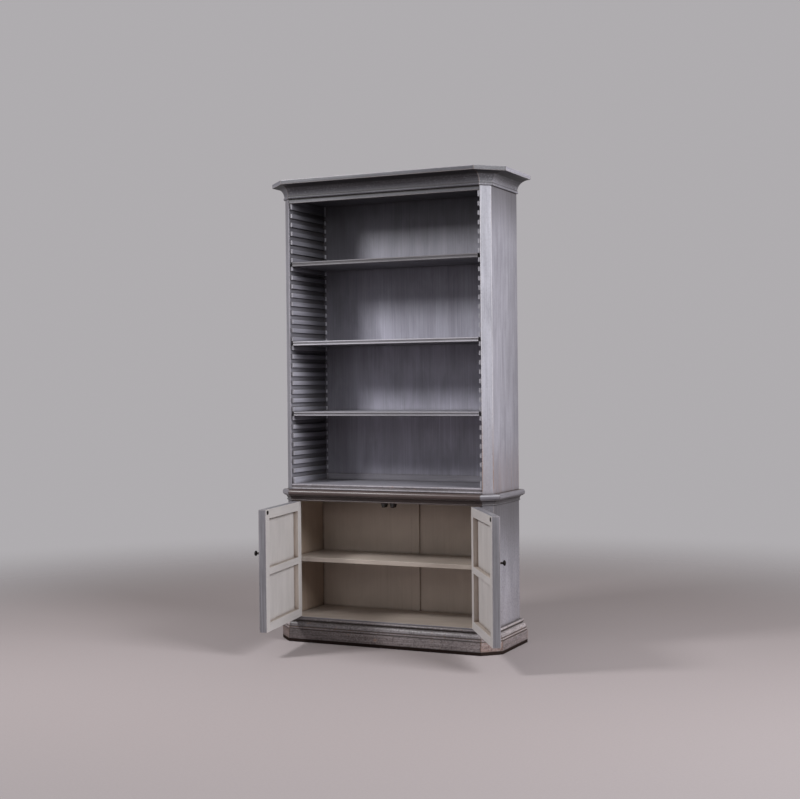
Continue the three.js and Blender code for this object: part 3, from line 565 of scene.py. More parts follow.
# The shelves: painted shade, the top shelf darkest and the low one a little darker.
SHELF_GREY = Paint("grey paint of the shelves", (0.245, 0.237, 0.268), (0.345, 0.333, 0.375), (0.46, 0.445, 0.5),
                   (0.62, 0.605, 0.64), wear=0.52, glaze_and_shade_colour=(0.03, 0.026, 0.027),
                   bands=(Band("Z", 1.75, 1.95, 0.7), Band("Z", 1.45, 1.3, 0.22)))
# Undersides: a near-black copy of the grey, as painted shade.
SHADED_UNDER_GREY = Paint("grey paint of undersides", (0.055, 0.053, 0.06), (0.08, 0.077, 0.088), (0.12, 0.116, 0.132),
                   UNDERCOAT, wear=0.2)
FLOOR_EDGE_GREY = Paint("grey paint of the floor's edge", (0.24, 0.222, 0.245), (0.33, 0.31, 0.345),
                        (0.43, 0.41, 0.45), UNDERCOAT, contrast=1.3, wear=0.62, wear_reach=0.006, rubs=0.5,
                        glaze_and_shade_colour=(0.05, 0.035, 0.03), bands=(Stripe(0.791, 0.004, 0.9),), bared=1.0, specks=0.4)
# The case floor's top: a darker copy of the grey, as painted shade from the shelf above.
SHADED_FLOOR_GREY = Paint("grey paint of the case's floor", (0.175, 0.168, 0.192), (0.235, 0.226, 0.258), (0.31, 0.3, 0.34),
                   UNDERCOAT, wear=0.4)
# Painted shadow lines under the cornice's slab, at the cove's foot and under its bead.
QUIRK_SHADOWS = (Stripe(2.3715, 0.0085, 0.92), Stripe(2.3245, 0.0035, 0.6), Stripe(2.306, 0.006, 0.92))
# The cornice's front and the frieze: a darker copy of the grey, as painted shade, with painted shade across the slab's
# face and below it, more on the bead and frieze; the pale undercoat on the arrises stands as painted highlights.
SHADED_CORNICE_GREY = Paint("grey paint of the cornice", (0.125, 0.12, 0.141), (0.18, 0.174, 0.203), (0.255, 0.247, 0.288),
                     (0.78, 0.76, 0.8), wear=0.74, wear_reach=0.006, glaze_and_shade_colour=(0.014, 0.012, 0.014),
                     bands=(Stripe(2.386, 0.0125, 0.66, core=0.7), Band("Z", 2.378, 2.374, 0.5),
                            Band("Z", 2.345, 2.322, 0.35)) + QUIRK_SHADOWS,
                     specks=0.15)
# The cornice's cants: a darker copy, as painted shade.
SHADED_CORNICE_CANT_GREY = Paint("grey paint of the cornice's cants", (0.11, 0.105, 0.119), (0.155, 0.149, 0.168),
                          (0.22, 0.212, 0.238), (0.6, 0.585, 0.62), wear=0.6, wear_reach=0.005,
                          glaze_and_shade_colour=(0.02, 0.018, 0.02), bands=(Stripe(2.386, 0.0125, 0.45, core=0.7),) + QUIRK_SHADOWS,
                          specks=0.2)
# The cornice's left cant: the darkest copy, as painted shade.
SHADED_CORNICE_LEFT_CANT_GREY = Paint("dark grey paint of the cornice", (0.085, 0.081, 0.094), (0.125, 0.12, 0.138),
                          (0.18, 0.174, 0.197), (0.5, 0.485, 0.52), wear=0.5, wear_reach=0.005,
                          glaze_and_shade_colour=(0.014, 0.012, 0.014))
# The cornice's sides, with the quirks' painted shadow lines.
CORNICE_SIDE_GREY = Paint("grey paint of the cornice's sides", (0.2, 0.192, 0.218), (0.28, 0.268, 0.305),
                          (0.37, 0.357, 0.4), (0.6, 0.585, 0.62), contrast=1.5, cloudiness=0.3, wear=0.6,
                          wear_reach=0.006, glaze_and_shade_colour=(0.025, 0.02, 0.02), bands=QUIRK_SHADOWS, specks=0.35)
# The waist's dark grey; the pale undercoat on its nose's arrises also stands as painted highlights.
WAIST_GREY = Paint("dark grey paint", (0.045, 0.032, 0.03), (0.082, 0.059, 0.056), (0.15, 0.125, 0.128),
                   (0.4, 0.385, 0.41), wear=0.5, wear_reach=0.005, glaze_and_shade_colour=(0.01, 0.008, 0.008), gloss_low=0.26,
                   gloss_high=0.4)
# The waist's cants and sides: a paler copy of its dark grey, as painted light, with painted shade below the nose.
LIT_WAIST_SIDE_GREY = Paint("dark grey paint of the sides", (0.12, 0.112, 0.124), (0.2, 0.188, 0.21),
                        (0.31, 0.298, 0.334), (0.42, 0.405, 0.44), wear=0.52, wear_reach=0.005,
                        glaze_and_shade_colour=(0.02, 0.017, 0.017), bands=(Band("Z", 0.775, 0.755, 0.6),), gloss_low=0.3,
                        gloss_high=0.42)
# The base: fronts darker than sides; painted shade towards the left, a painted contact shadow at the foot and painted
# shadow lines in the quirks; the pale undercoat on the arrises also stands as painted highlights.
BASE_GREY = Paint("grey paint of the base", (0.115, 0.094, 0.091), (0.205, 0.172, 0.171), (0.32, 0.29, 0.3),
                  (0.46, 0.435, 0.455), contrast=1.4, cloudiness=0.25, wear=0.6, wear_reach=0.006, foot_wear=0.25,
                  foot_high=0.14, rubs=0.4, grime=0.8, dirt_and_shade_colour=(0.025, 0.018, 0.015),
                  glaze_and_shade_colour=(0.02, 0.013, 0.012), bands=(LEFTWARD_SHADE, CONTACT_SHADOW, *STEP_SHADOWS), bared=1.0, specks=0.55,
                  gloss_low=0.34, gloss_high=0.52)
BASE_SIDE_GREY = Paint("grey paint of the base's sides", (0.14, 0.116, 0.116), (0.235, 0.197, 0.202),
                       (0.345, 0.305, 0.318), (0.48, 0.445, 0.465), contrast=1.4, cloudiness=0.25, wear=0.62,
                       foot_wear=0.3, foot_high=0.14, stain=0.5, rubs=0.6, grime=0.8,
                       dirt_and_shade_colour=(0.03, 0.022, 0.018), glaze_and_shade_colour=(0.03, 0.02, 0.018), bands=(CONTACT_SHADOW, *STEP_SHADOWS),
                       bared=1.0, specks=0.65, gloss_low=0.36, gloss_high=0.55)
BASE_CANT_GREY = replace(BASE_SIDE_GREY, name="grey paint of the base's cants", deep=(0.2, 0.14, 0.123),
                         body=(0.36, 0.258, 0.235), pale=(0.47, 0.375, 0.355), rubs=0.7,
                         bands=(LEFTWARD_SHADE, CONTACT_SHADOW, *STEP_SHADOWS))
STEP_GREY = Paint("grey paint of the base moulding", (0.13, 0.112, 0.113), (0.22, 0.197, 0.205), (0.33, 0.308, 0.325),
                  (0.48, 0.455, 0.475), contrast=1.3, cloudiness=0.25, wear=0.6, wear_reach=0.006, rubs=0.4,
                  grime=0.8, glaze_and_shade_colour=(0.02, 0.014, 0.013), bands=(LEFTWARD_SHADE, *STEP_SHADOWS), bared=0.8, specks=0.5,
                  gloss_low=0.34, gloss_high=0.52)
STEP_SIDE_GREY = Paint("grey paint of the base moulding's sides", (0.29, 0.25, 0.255), (0.44, 0.39, 0.4),
                       (0.54, 0.49, 0.51), (0.6, 0.56, 0.58), contrast=1.3, cloudiness=0.25, wear=0.62, foot_low=0.06,
                       foot_high=0.13, stain=0.3, rubs=0.5, grime=0.8, glaze_and_shade_colour=(0.04, 0.028, 0.026), bands=STEP_SHADOWS,
                       bared=0.8, specks=0.65, gloss_low=0.36, gloss_high=0.55)
DOOR_GREY = Paint("grey paint of the doors", (0.148, 0.142, 0.162), (0.21, 0.203, 0.231), (0.31, 0.3, 0.34),
                  (0.5, 0.485, 0.52), contrast=1.25, wear=0.52)
# The doors' edges: a darker copy of the doors' grey, as painted shade.
SHADED_DOOR_EDGE_GREY = Paint("grey paint of the doors' edges", (0.115, 0.11, 0.121), (0.167, 0.161, 0.177),
                       (0.25, 0.241, 0.268), (0.44, 0.425, 0.455), contrast=1.25, wear=0.5)
CREAM = Paint("cream paint", (0.51, 0.477, 0.466), (0.565, 0.536, 0.53), (0.615, 0.588, 0.583), (0.66, 0.632, 0.622),
              contrast=0.8, cloudiness=0.06, wear=0.2, wear_reach=0.004, grime=0.75,
              dirt_and_shade_colour=(0.14, 0.085, 0.055), glaze_and_shade_colour=(0.34, 0.28, 0.22), gloss_low=0.4, gloss_high=0.48,
              relief=0.2)
# The panels' reveals: a darker, browner copy of the cream, as painted shade.
SHADED_REVEAL_CREAM = Paint("cream paint of the reveals", (0.36, 0.3, 0.255), (0.42, 0.36, 0.318), (0.5, 0.445, 0.405),
                     (0.62, 0.58, 0.55), contrast=0.8, wear=0.35, wear_reach=0.003, grime=0.8,
                     dirt_and_shade_colour=(0.12, 0.07, 0.045), gloss_high=0.5, relief=0.2)
# Inside the cabinet: a darker, warmer copy of the cream, as painted shade with the warmth of bounced light.
SHADED_INSIDE_CREAM = replace(CREAM, name="cream paint inside", deep=(0.36, 0.303, 0.262), body=(0.42, 0.36, 0.316),
                       pale=(0.475, 0.415, 0.37), undercoat=(0.6, 0.55, 0.5), stroke_width=0.009, cloudiness=0.1,
                       wear=0.25, grime=0.85, dirt_and_shade_colour=(0.07, 0.035, 0.016), glaze_and_shade_colour=(0.25, 0.18, 0.13),
                       gloss_high=0.5)
# The cabinet's sides inside: darker still, as painted shade.
SHADED_WALL_CREAM = replace(SHADED_INSIDE_CREAM, name="cream paint of the cabinet's sides", deep=(0.335, 0.255, 0.195),
                     body=(0.385, 0.3, 0.238), pale=(0.43, 0.345, 0.28))
# The cabinet's back: warmer than the cream, as painted bounced light, with painted shade growing towards the top.
BACK_CREAM = Paint("cream paint of the cabinet's back", (0.53, 0.455, 0.395), (0.585, 0.51, 0.45),
                   (0.63, 0.555, 0.495), (0.66, 0.59, 0.53), stroke_width=0.009, contrast=0.7, cloudiness=0.06,
                   wear=0.2, wear_reach=0.004, grime=0.7, dirt_and_shade_colour=(0.09, 0.045, 0.02),
                   glaze_and_shade_colour=(0.1, 0.06, 0.035), bands=(Band("Z", 0.6, 0.73, 0.5),), gloss_low=0.45,
                   gloss_high=0.55, relief=0.2)
# The panels: painted shadow lines under the top and middle rails.
PANEL_CREAM = replace(CREAM, name="cream paint of the panels", glaze_and_shade_colour=(0.12, 0.075, 0.05),
                      bands=(Stripe(0.68, 0.004, 0.75), Stripe(0.4045, 0.004, 0.75)))
SOFTWOOD = BareWood("bare softwood")
BLACK_IRON = Metal("blackened iron", (0.035, 0.03, 0.028), (0.16, 0.14, 0.12), 0.42, metallic=0.8)
AGED_STEEL = Metal("aged steel", (0.30, 0.27, 0.24), (0.52, 0.50, 0.47), 0.42)
MAGNET = Metal("magnet face", (0.20, 0.20, 0.20), (0.4, 0.4, 0.4), 0.5)


def smooth(mesh: bpy.types.Mesh) -> bpy.types.Mesh:
    """Shades a mesh smooth between its sharp arrises, and returns it."""
    mesh.shade_smooth()
    mesh.set_sharp_from_angle(angle=ARRIS_ANGLE)
    return mesh


def mesh_of(name: str, solid: bmesh.types.BMesh) -> bpy.types.Mesh:
    """Returns the mesh of a form under construction, which ends with it."""
    mesh = bpy.data.meshes.new(name)
    solid.to_mesh(mesh)
    solid.free()
    return mesh


def write_points(mesh: bpy.types.Mesh, name: str, values: Sequence[Any]) -> None:
    """Writes one number or one vector for each vertex of a mesh.

    Args:
        mesh: The mesh.
        name: The attribute's name.
        values: The numbers or the vectors.
    """
    kind, key = ("FLOAT", "value") if isinstance(values[0], float) else ("FLOAT_VECTOR", "vector")
    attribute = mesh.attributes.get(name) or mesh.attributes.new(name, kind, "POINT")
    for item, value in zip(attribute.data, values):
        setattr(item, key, value)


class Workshop:
    """Makes finished pieces: it eases their arrises, lays the grain on them, paints them and places them."""

    def __init__(self) -> None:
        """Starts the finishes."""
        self.groups = ShaderGroups()
        self.materials: dict[str, bpy.types.Material] = {}
        self.count = 0

    def material(self, finish: Any) -> bpy.types.Material:
        """Returns a finish's material, which is built once."""
        if finish.name not in self.materials:
            self.materials[finish.name] = finish.build(self.groups)
        return self.materials[finish.name]

    @staticmethod
    def copy_of(node: str) -> bpy.types.Mesh:
        """Returns a copy of a solid's mesh, merged and free of custom normals."""
        mesh = frame["nodes"][node].data.copy()
        mesh.materials.clear()
        solid = bmesh.new()
        solid.from_mesh(mesh)
        bmesh.ops.remove_doubles(solid, verts=solid.verts, dist=WELD)
        bmesh.ops.dissolve_limit(solid, angle_limit=FLAT_ANGLE, verts=solid.verts, edges=solid.edges)
        solid.to_mesh(mesh)
        solid.free()
        if "custom_normal" in mesh.attributes:
            mesh.attributes.remove(mesh.attributes["custom_normal"])
        return mesh

    @staticmethod
    def bake(thing: bpy.types.Object) -> bpy.types.Mesh:
        """Returns the mesh of an object with its modifiers applied, and removes them."""
        graph = bpy.context.evaluated_depsgraph_get()
        graph.update()
        mesh = bpy.data.meshes.new_from_object(thing.evaluated_get(graph), preserve_all_data_layers=True,
                                               depsgraph=graph)
        thing.modifiers.clear()
        thing.data = mesh
        return mesh

    @staticmethod
    def new_object(name: str, mesh: bpy.types.Mesh) -> bpy.types.Object:
        """Returns a new object at the origin."""
        mesh.name = name
        thing = bpy.data.objects.new(name, mesh)
        bpy.context.scene.collection.objects.link(thing)
        return thing

    def ease(self, thing: bpy.types.Object, width: float, segments: int = 2) -> None:
        """Rounds the outward arrises of a piece.

        Args:
            thing: The piece.
            width: How wide the rounding is.
            segments: How many facets it has.
        """
        solid = bmesh.new()
        solid.from_mesh(thing.data)
        layer = solid.edges.layers.float.new("bevel_weight_edge")
        for edge in solid.edges:
            if len(edge.link_faces) == 2 and edge.calc_face_angle_signed(0.0) > ARRIS_ANGLE:
                edge[layer] = 1.0
        solid.to_mesh(thing.data)
        solid.free()
        smooth(thing.data)
        rounding = thing.modifiers.new("arris", "BEVEL")
        rounding.width = width
        rounding.segments = segments
        rounding.limit_method = "WEIGHT"
        rounding.use_clamp_overlap = True
        rounding.miter_outer = "MITER_ARC"
        thing.modifiers.new("even", "WEIGHTED_NORMAL").keep_sharp = True
        self.bake(thing)

    def lay_grain(self, mesh: bpy.types.Mesh, along: Vector, name: str) -> None:
        """Writes each vertex's place along and across the grain of its board.

        Args:
            mesh: The board's mesh.
            along: The way the grain runs.
            name: Names the board, so that no two boards get the same stretch of marks.
        """
        third = UP if abs(along.z) < 0.5 else ALONG_FRONT
        across = third.cross(along).normalized()
        third = along.cross(across)
        shift = sum((k + 1) * ord(letter) for k, letter in enumerate(name)) % 977
        write_points(mesh, GRAIN, [
            (v.co.dot(along) + shift * 0.37, v.co.dot(across) + shift * 0.11, v.co.dot(third)) for v in mesh.vertices])

    def paint(self, mesh: bpy.types.Mesh, finishes: Sequence[Any], choose: Optional[Picker] = None) -> None:
        """Gives a mesh its finishes.

        Args:
            mesh: The mesh.
            finishes: The finishes it may have.
            choose: Picks a finish's number from a face's centre and normal.
        """
        mesh.materials.clear()
        for finish in finishes:
            mesh.materials.append(self.material(finish))
        for face in mesh.polygons:
            face.material_index = choose(face.center, face.normal) if choose else 0

    def place(self, thing: bpy.types.Object, slot: Slot, body: str, *nodes: str) -> None:
        """Makes a finished piece ride on its body and stand for its solids.

        Args:
            thing: The piece.
            slot: Not used.
            body: The body that it rides on.
            *nodes: The solids it stands for.
        """
        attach(thing, body)
        if nodes:
            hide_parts(*nodes)
        self.count += 1
        log.info("%s: %d faces, rides on %s", thing.name, len(thing.data.polygons), body)

    def board(self, node: str, along: Optional[Vector], slot: Slot, finishes: Sequence[Any],
              choose: Optional[Picker] = None, width: float = 1.0 * MM, segments: int = 2,
              held: Optional[Callable[[Vector], float]] = None) -> None:
        """Makes the finished board or fitting that stands for a solid.

        Args:
            node: The solid.
            along: The way its grain runs, or None for metal.
            slot: Not used; it is only passed on to place.
            finishes: The finishes it has.
            choose: Picks a finish's number from a face's centre and normal.
            width: How far its arrises are eased.
            segments: How many facets an eased arris has.
            held: Gives the dark glazing and painted shade at a place, from 0 to 1.
        """
        thing = self.new_object(f"{node}_finished", self.copy_of(node))
        self.ease(thing, width, segments)
        if along:
            self.lay_grain(thing.data, along, node)
        if held:
            write_points(thing.data, GLAZE_AND_SHADE, [held(v.co) for v in thing.data.vertices])
        self.paint(thing.data, finishes, choose)
        self.place(thing, slot, frame["nodes"][node]["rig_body"], node)


def arc(start: tuple[float, float], end: tuple[float, float], centre: tuple[float, float], steps: int = 10
        ) -> Profile:
    """Returns a quarter of an ellipse.

    Args:
        start: Its first point.
        end: Its last point.
        centre: Its centre.
        steps: How many chords it has.

    Returns:
        Its points, with both ends.
    """
    turns = [math.pi / 2 * step / steps for step in range(steps + 1)]
    return [tuple(c + (a - c) * math.cos(t) + (b - c) * math.sin(t) for a, b, c in zip(start, end, centre))
            for t in turns]


def bead(foot: float, crown: float, low: float, high: float, steps: int = 6) -> Profile:
    """Returns a half-round bead.

    Args:
        foot: Its reach where it springs.
        crown: Its reach at its crown.
        low: The height of its foot.
        high: The height of its head.
        steps: How many chords each half has.

    Returns:
        Its points, from the foot to the head.
    """
    middle = (foot, (low + high) / 2)
    tip = (crown, middle[1])
    return [*arc((foot, low), tip, middle, steps), *arc(tip, (foot, high), middle, steps)[1:]]


def eased(profile: Profile, radius: float, turn: float = math.radians(38), steps: int = 3) -> Profile:
    """Rounds the sharp corners of a closed profile.

    Args:
        profile: Its corners.
        radius: How far from a corner the rounding starts.
        turn: The least turn that counts as a corner.
        steps: How many chords a rounding has.

    Returns:
        The rounded profile.
    """
    result: Profile = []
    for k, corner in enumerate(profile):
        here = Vector(corner)
        back, on = Vector(profile[k - 1]) - here, Vector(profile[(k + 1) % len(profile)]) - here
        if back.length < WELD or on.length < WELD or math.pi - back.angle(on) < turn:
            result.append(corner)
            continue
        first, last = (here + way.normalized() * min(radius, 0.45 * way.length) for way in (back, on))
        for step in range(steps + 1):
            t = step / steps
            result.append(tuple(first * (1 - t) ** 2 + here * (2 * t * (1 - t)) + last * t**2))
    return result


@dataclass(frozen=True)
class Corner:
    """A corner of the case's plan, and the way a moulding stands out from it there."""

    x: float
    y: float
    out_x: float
    out_y: float

    def at(self, reach: float, height: float) -> Vector:
        """Returns the moulding's point at a reach out of the case and a height."""
        return Vector((self.x + self.out_x * reach, self.y + self.out_y * reach, height))


@dataclass
class CasePlan:
    """The plan of the case with its canted corners, as the solids have it."""

    front: float = field(init=False)
    cant_back: float = field(init=False)
    back: float = field(init=False)
    half_width: float = field(init=False)
    opening_half: float = field(init=False)

    def __post_init__(self) -> None:
        """Reads the plan from the solids."""
        side_low, side_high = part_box("upper_side_right")
        self.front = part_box("lower_post_right")[0].y
        self.cant_back, self.back, self.half_width = side_low.y, side_high.y, side_high.x
        self.opening_half = self.half_width - (self.cant_back - self.front)

    def corners(self) -> list[Corner]:
        """Returns the corners from the left end of the back, round the front, to the right end."""
        right = [Corner(self.opening_half, self.front, 0, -1), Corner(self.half_width, self.cant_back, 1, 0),
                 Corner(self.half_width, self.back, 1, 0)]
        left = [Corner(-c.x, c.y, -c.out_x, c.out_y) for c in reversed(right)]
        return left + right


@dataclass
class Moulding:
    """Straight lengths of one moulding round the case, mitred where it turns."""

    name: str
    profile: Profile
    finishes: Sequence[Any]
    slot: Slot
    mitre: float = 0.25 * MM
    mitre_line: float = 4 * MM
    mitre_glaze: float = 0.8
    hollow: float = 7 * MM

    def glaze(self) -> list[float]:
        """Returns how much dark glazing and painted shade each point of the profile holds: the deeper in a hollow, the
        more.
        """
        points = [Vector(point) for point in self.profile]
        hull = [points[k] for k in convex_hull_2d(points)]
        held = []
        for point in points:
            deep = min((point - intersect_point_line(point, hull[k - 1], hull[k])[0].to_2d()).length
                       for k in range(len(hull)))
            held.append(min(1.0, deep / self.hollow))
        return held

    def turn(self, _: Vector, normal: Vector) -> int:
        """Returns which finish a face has: the first in front, the last at the sides, the middle one on the cants."""
        last = len(self.finishes) - 1
        if abs(normal.x) < 0.3:
            return 0
        return last if abs(normal.x) > 0.8 or last < 2 else 1

    def build(self, shop: Workshop, corners: Sequence[Corner], node: str) -> None:
        """Builds the lengths between the corners.

        Args:
            shop: Finishes the piece.
            corners: The corners that the moulding passes.
            node: The solid it stands for.
        """
        solid = bmesh.new()
        grain = solid.verts.layers.float_vector.new(GRAIN)
        glaze = solid.verts.layers.float.new(GLAZE_AND_SHADE)
        held = self.glaze()
        girth = [0.0]
        for here, after in zip(self.profile, self.profile[1:]):
            girth.append(girth[-1] + math.dist(here, after))
        inside = self.mitre + self.mitre_line
        for number, (first, last) in enumerate(zip(corners, corners[1:])):
            way = Vector((last.x - first.x, last.y - first.y, 0)).normalized()
            rings = []
            for corner, shift, least in ((first, self.mitre, self.mitre_glaze), (first, inside, 0.0),
                                         (last, -inside, 0.0), (last, -self.mitre, self.mitre_glaze)):
                ring = []
                for k, (reach, height) in enumerate(self.profile):
                    vertex = solid.verts.new(corner.at(reach, height) + way * shift)
                    vertex[grain] = (vertex.co.dot(way) + 7.3 * (number + 1), girth[k], 0.05 * reach)
                    vertex[glaze] = max(held[k], least)
                    ring.append(vertex)
                rings.append(ring)
            for near, far in zip(rings, rings[1:]):
                for k, here in enumerate(near):
                    after = (k + 1) % len(near)
                    solid.faces.new((here, near[after], far[after], far[k]))
            for ring in (rings[0], rings[-1]):
                solid.faces.new(ring)
        bmesh.ops.recalc_face_normals(solid, faces=solid.faces)
        thing = shop.new_object(self.name, smooth(mesh_of(self.name, solid)))
        shop.paint(thing.data, self.finishes, self.turn)
        shop.place(thing, self.slot, "case", node)


def block(solid: bmesh.types.BMesh, low: Vector, high: Vector) -> None:
    """Adds a rectangular block between two corners to a mesh under construction."""
    made = bmesh.ops.create_cube(solid, size=1.0)
    for vertex in made["verts"]:
        vertex.co = Vector((low[k] + (vertex.co[k] + 0.5) * (high[k] - low[k]) for k in range(3)))


class GeometryTree:
    """A Geometry Nodes tree with named inputs."""

    def __init__(self, name: str, inputs: dict[str, Any]) -> None:
        """Starts the tree with a geometry input and output, a material, and its own named inputs."""
        self.tree = bpy.data.node_groups.new(name, "GeometryNodeTree")
        add_sockets(self.tree, "INPUT", {"Geometry": "Geometry", **inputs, "Material": "Material"})
        add_sockets(self.tree, "OUTPUT", {"Geometry": "Geometry"})
        self.writer = NodeWriter(self.tree)
        self.given = {s.name: s for s in self.writer.add("NodeGroupInput").outputs if s.name}

    def close(self, geometry: bpy.types.Node) -> None:
        """Ends the tree: instances are made real and get the material."""
        real = self.writer.add("GeometryNodeRealizeInstances", {0: geometry})
        painted = self.writer.add("GeometryNodeSetMaterial", {"Geometry": real, "Material": self.given["Material"]})
        self.writer.add("NodeGroupOutput", {0: painted})

    def apply(self, thing: bpy.types.Object, values: dict[str, Any]) -> bpy.types.Mesh:
        """Runs the tree on an object and keeps the result as its mesh.

        Args:
            thing: The object.
            values: The inputs by name.

        Returns:
            The object's new mesh.
        """
        modifier = thing.modifiers.new(self.tree.name, "NODES")
        modifier.node_group = self.tree
        for item in self.tree.interface.items_tree:
            if item.item_type == "SOCKET" and item.in_out == "INPUT" and item.name in values:
                modifier[item.identifier] = values[item.name]
        return Workshop.bake(thing)


@dataclass
class ShelfRacks:
    """The slotted linings that carry the shelves: a web with one tooth between each two slots."""

    pitch: float = 46 * MM
    slot_height: float = 24 * MM
    tooth_depth: float = 15 * MM
    first_slot: float = 33 * MM
    seat_low: float = 2287.7 * MM
    ease: float = 1.3 * MM
    weld: float = 0.4 * MM
    tree: GeometryTree = field(init=False)

    def __post_init__(self) -> None:
        """Builds the tree of the teeth."""
        self.tree = self._teeth()

    @staticmethod
    def _teeth() -> GeometryTree:
        """Returns the tree: an eased bar as deep as the rack, set out at the pitch, with a little unevenness."""
        made = GeometryTree("Shelf Rack Teeth", {
            "Count": 30, "Pitch": 0.0, "Start": "Vector", "Tooth Width": 0.0, "Tooth Height": 0.0, "Run": 0.0,
            "Ease": 0.0, "Unevenness": 0.4 * MM})
        add, given = made.writer.add, made.given
        outline = add("GeometryNodeCurvePrimitiveQuadrilateral",
                      {"Width": given["Tooth Width"], "Height": given["Tooth Height"]})
        rounded = add("GeometryNodeFilletCurve", {"Curve": outline, "Radius": given["Ease"], "Count": 3,
                                                  "Limit Radius": True}, mode="POLY")
        face = add("GeometryNodeFillCurve", {0: rounded}, mode="NGONS")
        raised = add("GeometryNodeExtrudeMesh", {"Mesh": face, "Offset Scale": given["Run"], "Individual": False})
        joined = made.writer.join(raised, add("GeometryNodeFlipFaces", {0: face}))
        closed = add("GeometryNodeMergeByDistance", {"Geometry": joined, "Distance": WELD})
        laid = add("GeometryNodeTransform", {"Geometry": closed, "Rotation": (math.pi / 2, 0.0, 0.0)})
        step = add("ShaderNodeCombineXYZ", {2: given["Pitch"]})
        line = add("GeometryNodeMeshLine", {"Count": given["Count"], "Start Location": given["Start"], "Offset": step})
        swing = add("FunctionNodeRandomValue", {0: (-1.0, -1.0, -1.0), 1: (0.0, 1.0, 1.0), "Seed": 11},
                    data_type="FLOAT_VECTOR")
        shift = made.writer.scale(swing.outputs[0], given["Unevenness"])
        uneven = add("GeometryNodeSetPosition", {"Geometry": line, "Offset": shift})
        teeth = add("GeometryNodeInstanceOnPoints", {"Points": uneven, "Instance": laid})
        made.close(made.writer.join(given["Geometry"], teeth))
        return made

    def build(self, shop: Workshop) -> None:
        """Builds both racks."""
        # The left rack's teeth fronts darker and the right's paler, as painted shade and light; the web between the
        # teeth darkened as painted shade, more on the right.
        self._rack(shop, "shelf_rack_left", -1, SHADED_RACK_EDGE_GREY, 0.5)
        self._rack(shop, "shelf_rack_right", 1, LIT_RACK_TIP_GREY, 0.95)

    def _rack(self, shop: Workshop, node: str, side: int, tip: Paint, glaze: float) -> None:
        """Builds one rack.

        Args:
            shop: Finishes the piece.
            node: The solid it stands for.
            side: -1 for the left rack and 1 for the right.
            tip: The finish of the teeth's front ends.
            glaze: How much dark glazing the web holds between the teeth, as painted shade.
        """
        low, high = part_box(node)
        face, back_of_web = sorted((abs(low.x), abs(high.x)))
        web = face + self.tooth_depth
        slots = int((self.seat_low - low.z - self.first_slot - self.slot_height) / self.pitch) + 1
        first_slot = low.z + self.first_slot
        last_top = first_slot + (slots - 1) * self.pitch + self.slot_height
        seat_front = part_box("frieze_rail")[1].y + 0.3 * MM
        thing = shop.new_object(f"{node}_finished", bpy.data.meshes.new(node))
        solid = bmesh.new()
        for near, far, front, foot, top in (
                (web, back_of_web, low.y, low.z, self.seat_low), (web, back_of_web, seat_front, self.seat_low, high.z),
                (face, web, low.y, low.z, first_slot), (face, web, low.y, last_top, self.seat_low),
                (face, web, seat_front, self.seat_low, high.z)):
            left, right = sorted((side * near, side * far))
            block(solid, Vector((left, front, foot)), Vector((right, high.y, top)))
        solid.to_mesh(thing.data)
        solid.free()
        shop.ease(thing, self.ease / 2)
        tooth = self.tooth_depth + self.weld
        mesh = smooth(self.tree.apply(thing, {
            "Count": slots - 1, "Pitch": self.pitch, "Tooth Width": tooth,
            "Tooth Height": self.pitch - self.slot_height, "Run": high.y - low.y, "Ease": self.ease,
            "Start": (side * (face + tooth / 2), high.y, first_slot + (self.slot_height + self.pitch) / 2),
            "Material": shop.material(RACK_GREY)}))
        shop.lay_grain(mesh, INTO_CASE, node)
        write_points(mesh, GLAZE_AND_SHADE, [glaze if web - 1 * MM < abs(v.co.x) else 0.0 for v in mesh.vertices])
        shop.paint(mesh, [RACK_GREY, tip], lambda centre, normal: int(normal.y < -0.5 and abs(centre.x) < web))
        shop.place(thing, Slot.GREY, "case", node)


